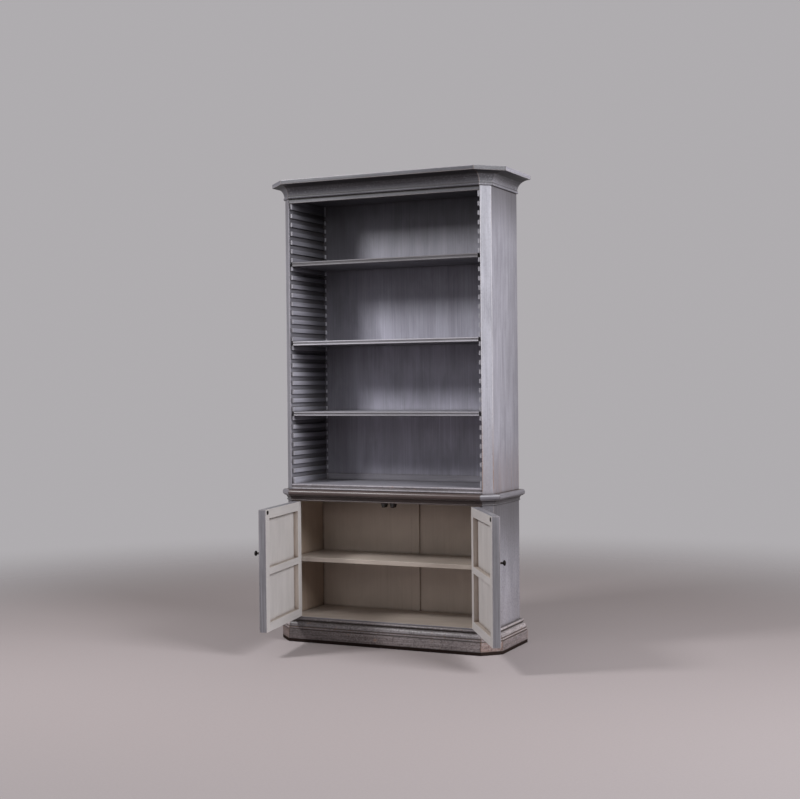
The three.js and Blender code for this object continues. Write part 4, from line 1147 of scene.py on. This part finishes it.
@dataclass
class UpperCase:
    """The open upper case: cornice, posts, sides, back, bottom and shelves."""

    plan: CasePlan
    bead_height: float = 13 * MM
    bead_projection: float = 10 * MM
    cove_setback: float = 7 * MM
    slab_height: float = 22 * MM
    seat_width: float = 18 * MM
    seat_height: float = 20.3 * MM
    slab_ease: float = 1.6 * MM
    flute_depth: float = 2.6 * MM
    clearance: float = 0.3 * MM

    def cornice_profile(self, low: float, high: float, projection: float) -> Profile:
        """Returns the cornice's profile: bead, hollow cove and square slab.

        Args:
            low: The height of its underside.
            high: The height of its top.
            projection: How far it stands out of the case.

        Returns:
            Its points as reach and height.
        """
        bead_top, slab_low = low + self.bead_height, high - self.slab_height
        half_bead = self.bead_projection / 2
        cove_head = (projection - self.cove_setback, slab_low)
        slab = eased([(cove_head[0], slab_low), (projection, slab_low), (projection, high), (-self.seat_width, high),
                      (-self.seat_width, low + self.seat_height), (self.clearance, low + self.seat_height)],
                     self.slab_ease)
        return [(self.clearance, low), *bead(half_bead, self.bead_projection, low, bead_top),
                *arc((half_bead, bead_top), cove_head, (cove_head[0], bead_top), 16)[1:], *slab[3:]]

    def build(self, shop: Workshop) -> None:
        """Builds the upper case's pieces."""
        low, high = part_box("cornice_front")
        profile = self.cornice_profile(low.z, high.z, self.plan.front - low.y)
        corners = self.plan.corners()
        # The cornice's front and cants take darker copies of its grey, as painted shade; the left cant the darkest.
        for word, stretch, cant in (("left", corners[:3], SHADED_CORNICE_LEFT_CANT_GREY), ("front", corners[2:4], SHADED_CORNICE_CANT_GREY),
                                    ("right", corners[3:], SHADED_CORNICE_CANT_GREY)):
            cornice = Moulding(f"cornice_{word}_finished", profile, [SHADED_CORNICE_GREY, cant, CORNICE_SIDE_GREY], Slot.GREY,
                               hollow=32 * MM)
            cornice.build(shop, stretch, f"cornice_{word}")
        # Posts: the left front shaded towards the top, the left cant and right front darker, as painted shade; the
        # right cant paler, as painted light.
        for word, finishes in (("left", [GREY, LEFT_POST_SHADED_GREY, SHADED_LIP_GREY]), ("right", [GREY, SHADED_LIP_GREY, LIT_CANT_GREY])):
            shop.board(f"upper_post_{word}", UP, Slot.GREY, finishes, self.post_side)
            shop.board(f"upper_side_{word}", UP, Slot.GREY, [SIDE_GREY])
        shop.board("upper_back_panel", UP, Slot.GREY, [BACK_GREY])
        shop.board("upper_top_board", ALONG_FRONT, Slot.GREY, [GREY, SHADED_UNDER_GREY], self.level_side)
        shop.board("frieze_rail", ALONG_FRONT, Slot.GREY, [SHADED_CORNICE_GREY])
        shop.board("upper_back_batten", ALONG_FRONT, Slot.GREY, [GREY])
        self.fluted(shop, "upper_bottom_board", [FLOOR_EDGE_GREY, SHADED_UNDER_GREY, SHADED_FLOOR_GREY])
        for level in ("top", "middle", "low"):
            self.fluted(shop, f"shelf_{level}", [SHELF_GREY, SHADED_UNDER_GREY, SHELF_GREY])
        ShelfRacks().build(shop)

    def fluted(self, shop: Workshop, node: str, finishes: Sequence[Paint]) -> None:
        """Builds a board with a fluted front edge, with dark glazing in its flutes as painted shade.

        Args:
            shop: Finishes the piece.
            node: The solid it stands for.
            finishes: The finishes of its edges, its underside and its top.
        """
        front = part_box(node)[0].y
        start, end = front + self.flute_depth / 2, front + 2 * self.flute_depth
        shop.board(node, ALONG_FRONT, Slot.GREY, finishes, self.floor_side, width=0.8 * MM,
                   held=lambda place: 0.75 if start < place.y < end else 0.0)

    @staticmethod
    def post_side(_: Vector, normal: Vector) -> int:
        """Returns 1 for the front of a post, 2 for its cant and 0 for its other faces."""
        return 0 if normal.y > -0.5 else 1 + int(abs(normal.x) > 0.4)

    @staticmethod
    def level_side(_: Vector, normal: Vector) -> int:
        """Returns 1 for the underside of a board and 0 for its other faces."""
        return int(normal.z < -0.5)

    @staticmethod
    def floor_side(_: Vector, normal: Vector) -> int:
        """Returns 1 for the underside of a board, 2 for its top and 0 for its edges."""
        return 0 if abs(normal.z) < 0.5 else 1 + int(normal.z > 0)


@dataclass
class Waist:
    """The cabinet's moulded top and the cove under it."""

    plan: CasePlan
    nose_top_run: float = 12 * MM
    nose_top_drop: float = 15 * MM
    nose_foot_run: float = 6 * MM
    frame_width: float = 60 * MM
    bead_height: float = 7 * MM
    bead_projection: float = 7 * MM
    cove_projection: float = 24 * MM
    fillet_height: float = 4 * MM
    clearance: float = 0.3 * MM

    def nose_profile(self, low: float, high: float, projection: float) -> Profile:
        """Returns the nose: a quarter round above and a smaller one below.

        Args:
            low: The height of the underside.
            high: The height of the top.
            projection: How far it stands out of the case.

        Returns:
            Its points as reach and height.
        """
        crown = (projection, high - self.nose_top_drop)
        foot = projection - self.nose_foot_run
        top = projection - self.nose_top_run
        return [(-self.frame_width, low), *arc((foot, low), crown, (foot, crown[1]), 7),
                *arc(crown, (top, high), (top, crown[1]), 9)[1:], (-self.frame_width, high)]

    def cove_profile(self, low: float, high: float) -> Profile:
        """Returns the cove with its bead below and its fillet above.

        Args:
            low: The height of the bead's underside.
            high: The height of the fillet's top.

        Returns:
            Its points as reach and height.
        """
        half = self.bead_projection / 2
        bead_top = low + self.bead_height
        head = (self.cove_projection, high - self.fillet_height)
        return [(self.clearance, low), *bead(half, self.bead_projection, low, bead_top, 5),
                *arc((half, bead_top), head, (head[0], bead_top), 12)[1:], (self.cove_projection, high),
                (self.clearance, high)]

    def build(self, shop: Workshop) -> None:
        """Builds the waist's pieces."""
        corners = self.plan.corners()
        low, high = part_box("cabinet_top")
        profile = self.nose_profile(low.z, high.z, self.plan.front - low.y)
        # Here and in the cove below, the cants and sides take a paler copy, as painted light.
        nose = Moulding("cabinet_top_nose", profile, [WAIST_GREY, LIT_WAIST_SIDE_GREY], Slot.DARK)
        nose.build(shop, corners, "cabinet_top")
        solid = bmesh.new()
        inset = self.frame_width + self.clearance
        half = self.plan.half_width - inset
        block(solid, Vector((-half, self.plan.front + inset, low.z)), Vector((half, high.y, high.z)))
        board = shop.new_object("cabinet_top_board", mesh_of("cabinet_top_board", solid))
        shop.ease(board, 0.5 * MM)
        shop.lay_grain(board.data, ALONG_FRONT, board.name)
        shop.paint(board.data, [GREY, SHADED_INSIDE_CREAM], UpperCase.level_side)
        shop.place(board, Slot.DARK, "case", "cabinet_top")
        low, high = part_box("waist_cove")
        cove = Moulding("waist_cove_finished", self.cove_profile(low.z, high.z), [WAIST_GREY, LIT_WAIST_SIDE_GREY],
                        Slot.DARK, hollow=14 * MM)
        cove.build(shop, corners, "waist_cove")


@dataclass
class Base:
    """The stepped moulding, the plinth and the rails inside it."""

    plan: CasePlan
    projection: float = 40 * MM
    fillet_reach: float = 37 * MM
    fillet_height: float = 10 * MM
    ovolo_reach: float = 34 * MM
    ovolo_height: float = 27 * MM
    neck_reach: float = 16 * MM
    bead_height: float = 13 * MM
    bead_round: float = 6 * MM
    plinth_thickness: float = 24 * MM
    chamfer: float = 3 * MM
    ease: float = 1.2 * MM
    clearance: float = 0.3 * MM

    def moulding_profile(self, low: float, high: float) -> Profile:
        """Returns the base moulding: fillet, ovolo and bead.

        Args:
            low: The height of its underside.
            high: The height of its top.

        Returns:
            Its points as reach and height.
        """
        fillet_top = low + self.fillet_height
        foot = eased([(self.clearance, low), (self.fillet_reach, low), (self.fillet_reach, fillet_top),
                      (self.ovolo_reach, fillet_top)], self.ease)
        ovolo = arc((self.ovolo_reach, fillet_top), (self.neck_reach, fillet_top + self.ovolo_height),
                    (self.neck_reach, fillet_top), 10)
        crown = bead(self.neck_reach, self.neck_reach + self.bead_round, high - self.bead_height, high)
        return [*foot, *ovolo[1:], *crown, (self.clearance, high)]

    def build(self, shop: Workshop) -> None:
        """Builds the base's pieces."""
        corners = self.plan.corners()
        low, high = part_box("base_moulding")
        steps = Moulding("base_moulding_finished", self.moulding_profile(low.z, high.z), [STEP_GREY, STEP_SIDE_GREY],
                         Slot.GREY)
        steps.build(shop, corners, "base_moulding")
        low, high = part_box("plinth")
        inner = self.projection - self.plinth_thickness
        face = [(inner, low.z), (self.projection, low.z), (self.projection, high.z - self.chamfer),
                (self.projection - self.chamfer, high.z), (inner, high.z)]
        plinth = Moulding("plinth_finished", eased(face, self.ease), [BASE_GREY, BASE_CANT_GREY, BASE_SIDE_GREY],
                          Slot.GREY)
        plinth.build(shop, corners, "plinth")
        shop.board("plinth_back_rail", ALONG_FRONT, Slot.WOOD, [SOFTWOOD])
        shop.board("plinth_cross_rail", INTO_CASE, Slot.WOOD, [SOFTWOOD])


@dataclass
class Cabinet:
    """The cabinet's posts, boards, shelf and back, grey outside and cream inside."""

    plan: CasePlan
    skin: float = 2 * MM

    def outside(self, centre: Vector, normal: Vector) -> int:
        """Returns 0 for a face that shows grey outside the cabinet, and 1 for one inside it."""
        on_front = centre.y < self.plan.front + self.skin
        on_side = abs(centre.x) > self.plan.half_width - self.skin
        on_back = centre.y > self.plan.back - self.skin
        on_cant = normal.y < -0.5 and abs(normal.x) > 0.5
        return 0 if on_front or on_side or on_back or on_cant else 1

    def build(self, shop: Workshop) -> None:
        """Builds the cabinet's pieces."""
        # Inside faces take darker, warmer copies of the cream, as painted shade.
        both = [GREY, SHADED_INSIDE_CREAM]
        for word in ("left", "right"):
            shop.board(f"lower_post_{word}", UP, Slot.GREY, [SHADED_LOWER_POST_GREY, SHADED_INSIDE_CREAM], self.outside)
            shop.board(f"lower_side_{word}", UP, Slot.GREY, [LOWER_SIDE_GREY, SHADED_WALL_CREAM], self.outside)
        for node in ("lower_top_rail", "lower_bottom_board"):
            shop.board(node, ALONG_FRONT, Slot.CREAM, both, self.outside)
        for node in ("cabinet_shelf", "cabinet_shelf_cleat"):
            shop.board(node, ALONG_FRONT, Slot.CREAM, [SHADED_INSIDE_CREAM])
        shop.board("lower_back_panel", UP, Slot.CREAM, [GREY, BACK_CREAM], self.outside)
        shop.board("lower_back_muntin", UP, Slot.CREAM, [BACK_CREAM])


def turned(name: str, profile: Profile, sides: int = 40) -> bpy.types.Mesh:
    """Makes a solid turned about the Y axis.

    Args:
        name: The mesh's name.
        profile: Radius and place along the axis, from axis to axis.
        sides: How many sides it has.

    Returns:
        The mesh, with its faces outwards.
    """
    solid = bmesh.new()
    rings = []
    for radius, place in profile:
        if radius < WELD:
            rings.append([solid.verts.new((0, place, 0))])
            continue
        angles = (2 * math.pi * k / sides for k in range(sides))
        rings.append([solid.verts.new((radius * math.cos(a), place, radius * math.sin(a))) for a in angles])
    for first, last in zip(rings, rings[1:]):
        for k in range(sides):
            after = (k + 1) % sides
            corners = [first[k % len(first)], first[after % len(first)], last[after % len(last)], last[k % len(last)]]
            solid.faces.new(list(dict.fromkeys(corners)))
    bmesh.ops.recalc_face_normals(solid, faces=solid.faces)
    return smooth(mesh_of(name, solid))


@dataclass(frozen=True)
class Fixing:
    """Where a screw goes: its place, the way it faces and how far its slot is turned."""

    place: Vector
    facing: Vector
    turn: float


class Screws:
    """Countersunk slotted screws, set out on points by one tree."""

    def __init__(self) -> None:
        """Builds the tree: a flat round head with its slot cut, one for each point, facing as the point says."""
        made = GeometryTree("Slotted Screws", {
            "Head Radius": 3 * MM, "Proud": 0.12 * MM, "Depth": 1.0 * MM, "Slot Width": 0.7 * MM})
        writer, add, given = made.writer, made.writer.add, made.given
        head = add("GeometryNodeMeshCylinder", {"Vertices": 20, "Radius": given["Head Radius"],
                                                "Depth": given["Depth"]})
        middle = writer.maths("SUBTRACT", given["Proud"], writer.maths("DIVIDE", given["Depth"], 2.0))
        up = add("ShaderNodeCombineXYZ", {2: middle})
        raised = add("GeometryNodeTransform", {"Geometry": head, "Translation": up})
        size = add("ShaderNodeCombineXYZ", {0: writer.times(given["Head Radius"], 3.0), 1: given["Slot Width"],
                                            2: given["Depth"]})
        cutter_up = add("ShaderNodeCombineXYZ", {2: writer.times(given["Depth"], 0.2)})
        placed = add("GeometryNodeTransform", {"Geometry": add("GeometryNodeMeshCube", {"Size": size}),
                                               "Translation": cutter_up})
        slotted = add("GeometryNodeMeshBoolean", {"Mesh 1": raised, "Mesh 2": placed}, operation="DIFFERENCE")
        facing = add("GeometryNodeInputNamedAttribute", {"Name": "facing"}, data_type="FLOAT_VECTOR")
        turn = add("GeometryNodeInputNamedAttribute", {"Name": "turn"}, data_type="FLOAT")
        aligned = add("FunctionNodeAlignRotationToVector", {"Vector": facing}, axis="Z")
        rotation = add("FunctionNodeRotateRotation", {0: aligned, 1: add("ShaderNodeCombineXYZ", {2: turn})},
                       rotation_space="LOCAL")
        made.close(add("GeometryNodeInstanceOnPoints", {"Points": given["Geometry"], "Instance": slotted,
                                                        "Rotation": rotation}))
        self.tree = made

    def build(self, shop: Workshop, name: str, fixings: Sequence[Fixing], finish: Any, slot: Slot, body: str,
              **sizes: float) -> None:
        """Builds one set of screws.

        Args:
            shop: Finishes the piece.
            name: The piece's name.
            fixings: Where the screws go.
            finish: Their finish.
            slot: Not used; it is only passed on to place.
            body: The body they ride on.
            **sizes: The tree's inputs that differ, by name with _ for a space.
        """
        mesh = bpy.data.meshes.new(name)
        mesh.from_pydata([f.place for f in fixings], [], [])
        write_points(mesh, "facing", [f.facing for f in fixings])
        write_points(mesh, "turn", [f.turn for f in fixings])
        thing = shop.new_object(name, mesh)
        values = {key.replace("_", " "): value for key, value in sizes.items()}
        smooth(self.tree.apply(thing, {"Material": shop.material(finish), **values}))
        shop.place(thing, slot, body)


@dataclass
class Door:
    """One panelled door with its knob, strike and hinge leaves."""

    word: str
    side: int
    skin: float = 2 * MM
    frame_ease: float = 0.7 * MM
    knob_radius: float = 13 * MM
    knob_reach: float = 32 * MM
    neck_radius: float = 5.5 * MM
    rose_radius: float = 11 * MM
    rose_thickness: float = 3 * MM
    strike_radius: float = 10 * MM
    strike_thickness: float = 3 * MM
    clearance: float = 0.3 * MM
    shut: Matrix = field(init=False)
    low: Vector = field(init=False)
    high: Vector = field(init=False)

    def __post_init__(self) -> None:
        """Works out how the door shuts, and its box when shut."""
        joint = next(j for j in frame["joints"] if j["name"] == f"{self.word}_door_hinge")
        pin = Matrix.Translation(joint["pos_m"])
        swing = Matrix.Rotation(math.radians(joint["range_deg"][0]), 4, Vector(joint["axis"]))
        self.shut = pin @ swing @ pin.inverted()
        self.low, self.high = self.shut_box("hinge_stile", "meeting_stile")

    @property
    def body(self) -> str:
        """The body that the door's pieces ride on."""
        return f"{self.word}_door"

    def node(self, part: str) -> str:
        """Returns the name of the solid of a part of the door."""
        return f"door_{self.word}_{part}"

    def shut_box(self, *parts: str) -> tuple[Vector, Vector]:
        """Returns the lowest and highest corners of some parts when the door is shut."""
        points = [self.shut @ v.co for part in parts for v in frame["nodes"][self.node(part)].data.vertices]
        return tuple(Vector(limit(p[k] for p in points) for k in range(3)) for limit in (min, max))

    def colour(self, centre: Vector, normal: Vector) -> int:
        """Returns which finish a face of the shut door has: outer face, inner face, edge or reveal.

        Args:
            centre: The face's centre.
            normal: The face's normal.

        Returns:
            The finish's number.
        """
        if abs(normal.y) > 0.5:
            return int(normal.y > 0)
        on_edge = (min(centre.x - self.low.x, self.high.x - centre.x) < self.skin
                   or min(centre.z - self.low.z, self.high.z - centre.z) < self.skin)
        return 2 if on_edge else 3 * int(centre.y > self.low.y + 8 * MM)

    def member(self, shop: Workshop, part: str, along: Vector, inner: Paint = CREAM) -> None:
        """Builds one part of the frame, or a panel.

        Args:
            shop: Finishes the piece.
            part: The part.
            along: The way its grain runs when the door is shut.
            inner: The finish of its inner face.
        """
        node = self.node(part)
        mesh = shop.copy_of(node)
        mesh.transform(self.shut)
        thing = shop.new_object(f"{node}_finished", mesh)
        shop.ease(thing, self.frame_ease)
        shop.lay_grain(thing.data, along, node)
        # Edges and reveals take darker copies of the door's paints, as painted shade.
        shop.paint(thing.data, [DOOR_GREY, inner, SHADED_DOOR_EDGE_GREY, SHADED_REVEAL_CREAM], self.colour)
        self.open(thing)
        shop.place(thing, Slot.DOOR, self.body, node)

    def open(self, thing: bpy.types.Object) -> None:
        """Turns a piece made on the shut door to where the door stands."""
        thing.data.transform(self.shut.inverted())
        thing.data.update()

    def knob(self, shop: Workshop) -> None:
        """Builds the turned knob on its rose."""
        low, high = self.shut_box("knob")
        neck_top = self.knob_reach - self.knob_radius
        waist = neck_top + self.knob_radius / 2
        profile = [(0, self.clearance), (self.rose_radius - 0.6 * MM, self.clearance),
                   (self.rose_radius, self.clearance + 0.8 * MM),
                   *arc((self.rose_radius, self.clearance + 0.8 * MM), (self.neck_radius, self.rose_thickness),
                        (self.neck_radius, self.clearance + 0.8 * MM), 6)[1:],
                   *arc((self.neck_radius, neck_top), (self.knob_radius, waist), (self.neck_radius, waist), 8),
                   *arc((self.knob_radius, waist), (0, self.knob_reach), (0, waist), 10)[1:]]
        self.iron(shop, "knob", [(radius, -place) for radius, place in profile],
                  Vector(((low.x + high.x) / 2, high.y + self.clearance, (low.z + high.z) / 2)))

    def iron(self, shop: Workshop, part: str, profile: Profile, place: Vector) -> None:
        """Builds a turned part of blackened iron.

        Args:
            shop: Finishes the piece.
            part: The part.
            profile: Radius and place along its axis.
            place: Where it sits on the shut door.
        """
        thing = shop.new_object(f"{self.node(part)}_finished", turned(part, profile))
        thing.data.transform(Matrix.Translation(place))
        shop.paint(thing.data, [BLACK_IRON])
        self.open(thing)
        shop.place(thing, Slot.BLACK, self.body, self.node(part))

    def strike(self, shop: Workshop) -> list[Fixing]:
        """Builds the round strike plate and returns where its screw goes."""
        low, high = self.shut_box("strike")
        rim = 0.5 * MM
        thickness = high.y - low.y
        centre = Vector(((low.x + high.x) / 2, low.y, (low.z + high.z) / 2))
        self.iron(shop, "strike", [(0, 0), (self.strike_radius, 0), (self.strike_radius, thickness - rim),
                                   (self.strike_radius - rim, thickness), (0, thickness)], centre)
        return [Fixing(self.shut.inverted() @ (centre + INTO_CASE * thickness),
                       self.shut.to_3x3().inverted() @ INTO_CASE, 0.9 * self.side)]

    def build(self, shop: Workshop, screws: Screws) -> None:
        """Builds the door's pieces."""
        for part in ("hinge_stile", "meeting_stile"):
            self.member(shop, part, UP)
        for part in ("lower_panel", "upper_panel"):
            self.member(shop, part, UP, PANEL_CREAM)
        for part in ("bottom_rail", "middle_rail", "top_rail"):
            self.member(shop, part, ALONG_FRONT)
        self.knob(shop)
        screws.build(shop, f"door_{self.word}_strike_screw", self.strike(shop), BLACK_IRON, Slot.BLACK, self.body,
                     Head_Radius=2.6 * MM)


@dataclass
class Hinges:
    """The butt hinges: leaves, knuckles and screws on the posts and on the doors."""

    doors: Sequence[Door]
    screw_rows: tuple[float, float, float] = (-26 * MM, 0.0, 26 * MM)
    screw_from_pin: float = 20 * MM
    ease: float = 0.3 * MM

    def fixings(self, door: Door, level: str, on_door: bool) -> list[Fixing]:
        """Returns where one leaf's screws go.

        Args:
            door: The door that the hinge carries.
            level: Which of its hinges it is.
            on_door: True for the door's leaf and False for the post's.

        Returns:
            The screws' places.
        """
        if on_door:
            low, high = door.shut_box(f"hinge_leaf_{level}")
        else:
            low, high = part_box(f"post_hinge_leaf_{door.word}_{level}")
        pin = Vector(next(j for j in frame["joints"] if j["child"] == door.body)["pos_m"])
        sign = -door.side if on_door else door.side
        facing = Vector((-sign, 0, 0))
        face = pin.x + sign * 0.15 * MM
        middle = (low.z + high.z) / 2
        found = []
        for k, row in enumerate(self.screw_rows):
            across = self.screw_from_pin + (3 * MM if k == 1 else -3 * MM)
            found.append(Fixing(Vector((face, pin.y + across, middle + row)), facing, 0.5 + 1.1 * k))
        if not on_door:
            return found
        back = door.shut.inverted()
        return [Fixing(back @ f.place, back.to_3x3() @ f.facing, f.turn) for f in found]

    def build(self, shop: Workshop, screws: Screws) -> None:
        """Builds every hinge."""
        for door in self.doors:
            for level in ("lower", "upper"):
                for node in (f"post_hinge_leaf_{door.word}_{level}", door.node(f"hinge_leaf_{level}")):
                    shop.board(node, None, Slot.STEEL, [AGED_STEEL], width=self.ease, segments=1)
            for on_door, body in ((False, "case"), (True, door.body)):
                places = [f for level in ("lower", "upper") for f in self.fixings(door, level, on_door)]
                name = f"hinge_screws_{door.word}_{'door' if on_door else 'post'}"
                screws.build(shop, name, places, AGED_STEEL, Slot.STEEL, body, Proud=0.05 * MM)


@dataclass
class Catch:
    """The double magnetic catch under the top rail."""

    magnet_width: float = 14 * MM
    magnet_height: float = 3 * MM
    magnet_proud: float = 0.3 * MM
    screw_inset: float = 5 * MM

    def build(self, shop: Workshop, screws: Screws) -> None:
        """Builds the catch, its magnet faces and its screws."""
        low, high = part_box("door_catch")
        shop.board("door_catch", None, Slot.BLACK, [BLACK_IRON], width=0.8 * MM)
        solid = bmesh.new()
        for side in (-1, 1):
            middle = side * 25 * MM
            for height in (low.z + 7 * MM, low.z + 14 * MM):
                block(solid, Vector((middle - self.magnet_width / 2, low.y - self.magnet_proud, height)),
                      Vector((middle + self.magnet_width / 2, low.y + 1 * MM, height + self.magnet_height)))
        magnets = shop.new_object("door_catch_magnets", mesh_of("door_catch_magnets", solid))
        shop.ease(magnets, 0.2 * MM, segments=1)
        shop.paint(magnets.data, [MAGNET])
        shop.place(magnets, Slot.BLACK, "case")
        plate = high.z - 2.5 * MM
        places = [Fixing(Vector((x, y, plate)), Vector((0, 0, -1)), 0.4 + 9 * x)
                  for x in (low.x + self.screw_inset, 0.0, high.x - self.screw_inset)
                  for y in (low.y + 9 * MM, high.y - 9 * MM)]
        screws.build(shop, "door_catch_screws", places, AGED_STEEL, Slot.STEEL, "case", Head_Radius=2.5 * MM)


@dataclass
class Studio:
    """The pale floor, the soft lamps and the camera."""

    picture_width: float = 800.0
    focal_pixels: float = 1394.25
    azimuth: float = 25.1201
    elevation: float = 0.5928
    roll: float = -0.5478
    camera_place: tuple[float, float, float] = (3.08511, -6.57490, 1.33187)
    floor_radius: float = 60.0
    floor_fade: tuple[float, float] = (1.8, 5.5)
    floor_colour: Colour = (0.38, 0.335, 0.34)
    surround: Colour = (0.43, 0.415, 0.43)
    ambient_level: float = 0.03
    ambient_above: float = 0.45
    ambient_colour: Colour = (1.0, 0.965, 0.93)

    def camera(self) -> None:
        """Makes the camera at the photograph's viewpoint."""
        data = bpy.data.cameras.new("camera")
        data.sensor_width = 36.0
        data.lens = self.focal_pixels * data.sensor_width / self.picture_width
        data.clip_end = 200.0
        camera = bpy.data.objects.new("camera", data)
        a, e, r = (math.radians(v) for v in (self.azimuth, self.elevation, self.roll))
        back = Vector((math.sin(a) * math.cos(e), -math.cos(a) * math.cos(e), math.sin(e)))
        level = Vector((math.cos(a), math.sin(a), 0))
        up = back.cross(level)
        right = level * math.cos(r) + up * math.sin(r)
        top = up * math.cos(r) - level * math.sin(r)
        camera.matrix_world = Matrix.Translation(self.camera_place) @ Matrix((right, top, back)).transposed().to_4x4()
        bpy.context.scene.collection.objects.link(camera)
        bpy.context.scene.camera = camera

    def floor(self) -> None:
        """Makes the floor, which fades into the surround away from the bookcase."""
        solid = bmesh.new()
        bmesh.ops.create_circle(solid, cap_ends=True, segments=96, radius=self.floor_radius)
        floor = Workshop.new_object("floor", mesh_of("floor", solid))
        floor.location.z = -0.5 * MM
        material, writer, shader = new_material("plain floor")
        place = writer.place()
        speckle = writer.noise(place, 90.0, 3.0, 0.6)
        colour = writer.mix(writer.spread(speckle, 0.3, 0.7), tuple(0.97 * c for c in self.floor_colour),
                            self.floor_colour)
        writer.feed(shader, {"Base Color": colour, "Roughness": 0.95, "Specular IOR Level": 0.1})
        distance = writer.add("ShaderNodeVectorMath", {0: place}, operation="LENGTH").outputs["Value"]
        mixed = writer.add("ShaderNodeMixShader", {0: writer.spread(distance, *self.floor_fade), 1: shader,
                                                   2: writer.add("ShaderNodeBsdfTransparent")})
        output = next(n for n in material.node_tree.nodes if n.type == "OUTPUT_MATERIAL")
        writer.feed(output, {"Surface": mixed})
        floor.data.materials.append(material)

    def world(self) -> None:
        """Makes the pale surround and its even light."""
        world = bpy.data.worlds.new("studio")
        world.use_nodes = True
        world.node_tree.nodes.clear()
        writer = NodeWriter(world.node_tree)
        path = writer.add("ShaderNodeLightPath")
        seen = writer.maths("MAXIMUM", path.outputs["Is Camera Ray"],
                            writer.maths("MAXIMUM", path.outputs["Is Glossy Ray"],
                                         path.outputs["Is Transmission Ray"]))
        shown = writer.add("ShaderNodeBackground", {"Color": (*self.surround, 1.0), "Strength": 1.0})
        height = writer.along(writer.add("ShaderNodeTexCoord").outputs["Generated"], "Z")
        strength = writer.spread(height, 0.1, 1.0, self.ambient_level, self.ambient_above)
        light = writer.add("ShaderNodeBackground", {"Color": (*self.ambient_colour, 1.0), "Strength": strength})
        mixed = writer.add("ShaderNodeMixShader", {0: seen, 1: light, 2: shown})
        writer.add("ShaderNodeOutputWorld", {"Surface": mixed})
        bpy.context.scene.world = world

    @staticmethod
    def lamp(name: str, place: Vector, target: Vector, size: float, level: float, colour: Colour) -> None:
        """Makes one soft square lamp.

        Args:
            name: The lamp's name.
            place: Where it stands.
            target: Where it points.
            size: Its width.
            level: What a white surface at the target that faces it renders as.
            colour: Its colour.
        """
        data = bpy.data.lights.new(name, "AREA")
        data.shape = "SQUARE"
        data.size = size
        data.energy = level * math.pi**2 * (place - target).length_squared
        data.color = colour
        lamp = bpy.data.objects.new(name, data)
        lamp.location = place
        lamp.rotation_mode = "QUATERNION"
        lamp.rotation_quaternion = (target - place).to_track_quat("-Z", "Y")
        bpy.context.scene.collection.objects.link(lamp)

    def build(self) -> None:
        """Makes the studio."""
        self.floor()
        self.world()
        self.camera()
        self.lamp("key lamp", Vector((-2.12, -2.66, 3.42)), Vector((0, 0, 1.3)), 0.8, 0.71, (0.985, 0.99, 1.0))
        self.lamp("side lamp", Vector((5.0, -1.9, 3.7)), Vector((0.4, 0, 1.3)), 2.6, 1.0, (0.97, 0.98, 1.0))
        self.lamp("front lamp", Vector((0.3, -5.5, 2.7)), Vector((0, 0, 1.2)), 1.6, 0.055, (1.0, 0.985, 0.97))
        scene = bpy.context.scene
        scene.view_settings.view_transform = "Standard"


def main() -> None:
    """Builds the studio and every piece."""
    logging.basicConfig(level=logging.INFO, format="%(message)s")
    Studio().build()
    shop = Workshop()
    screws = Screws()
    plan = CasePlan()
    doors = [Door("left", -1), Door("right", 1)]
    for part in (UpperCase(plan), Waist(plan), Cabinet(plan), Base(plan)):
        part.build(shop)
    for door in doors:
        door.build(shop, screws)
    Hinges(doors).build(shop, screws)
    Catch().build(shop, screws)
    log.info("%d pieces", shop.count)


if __name__ == "__main__":
    main()
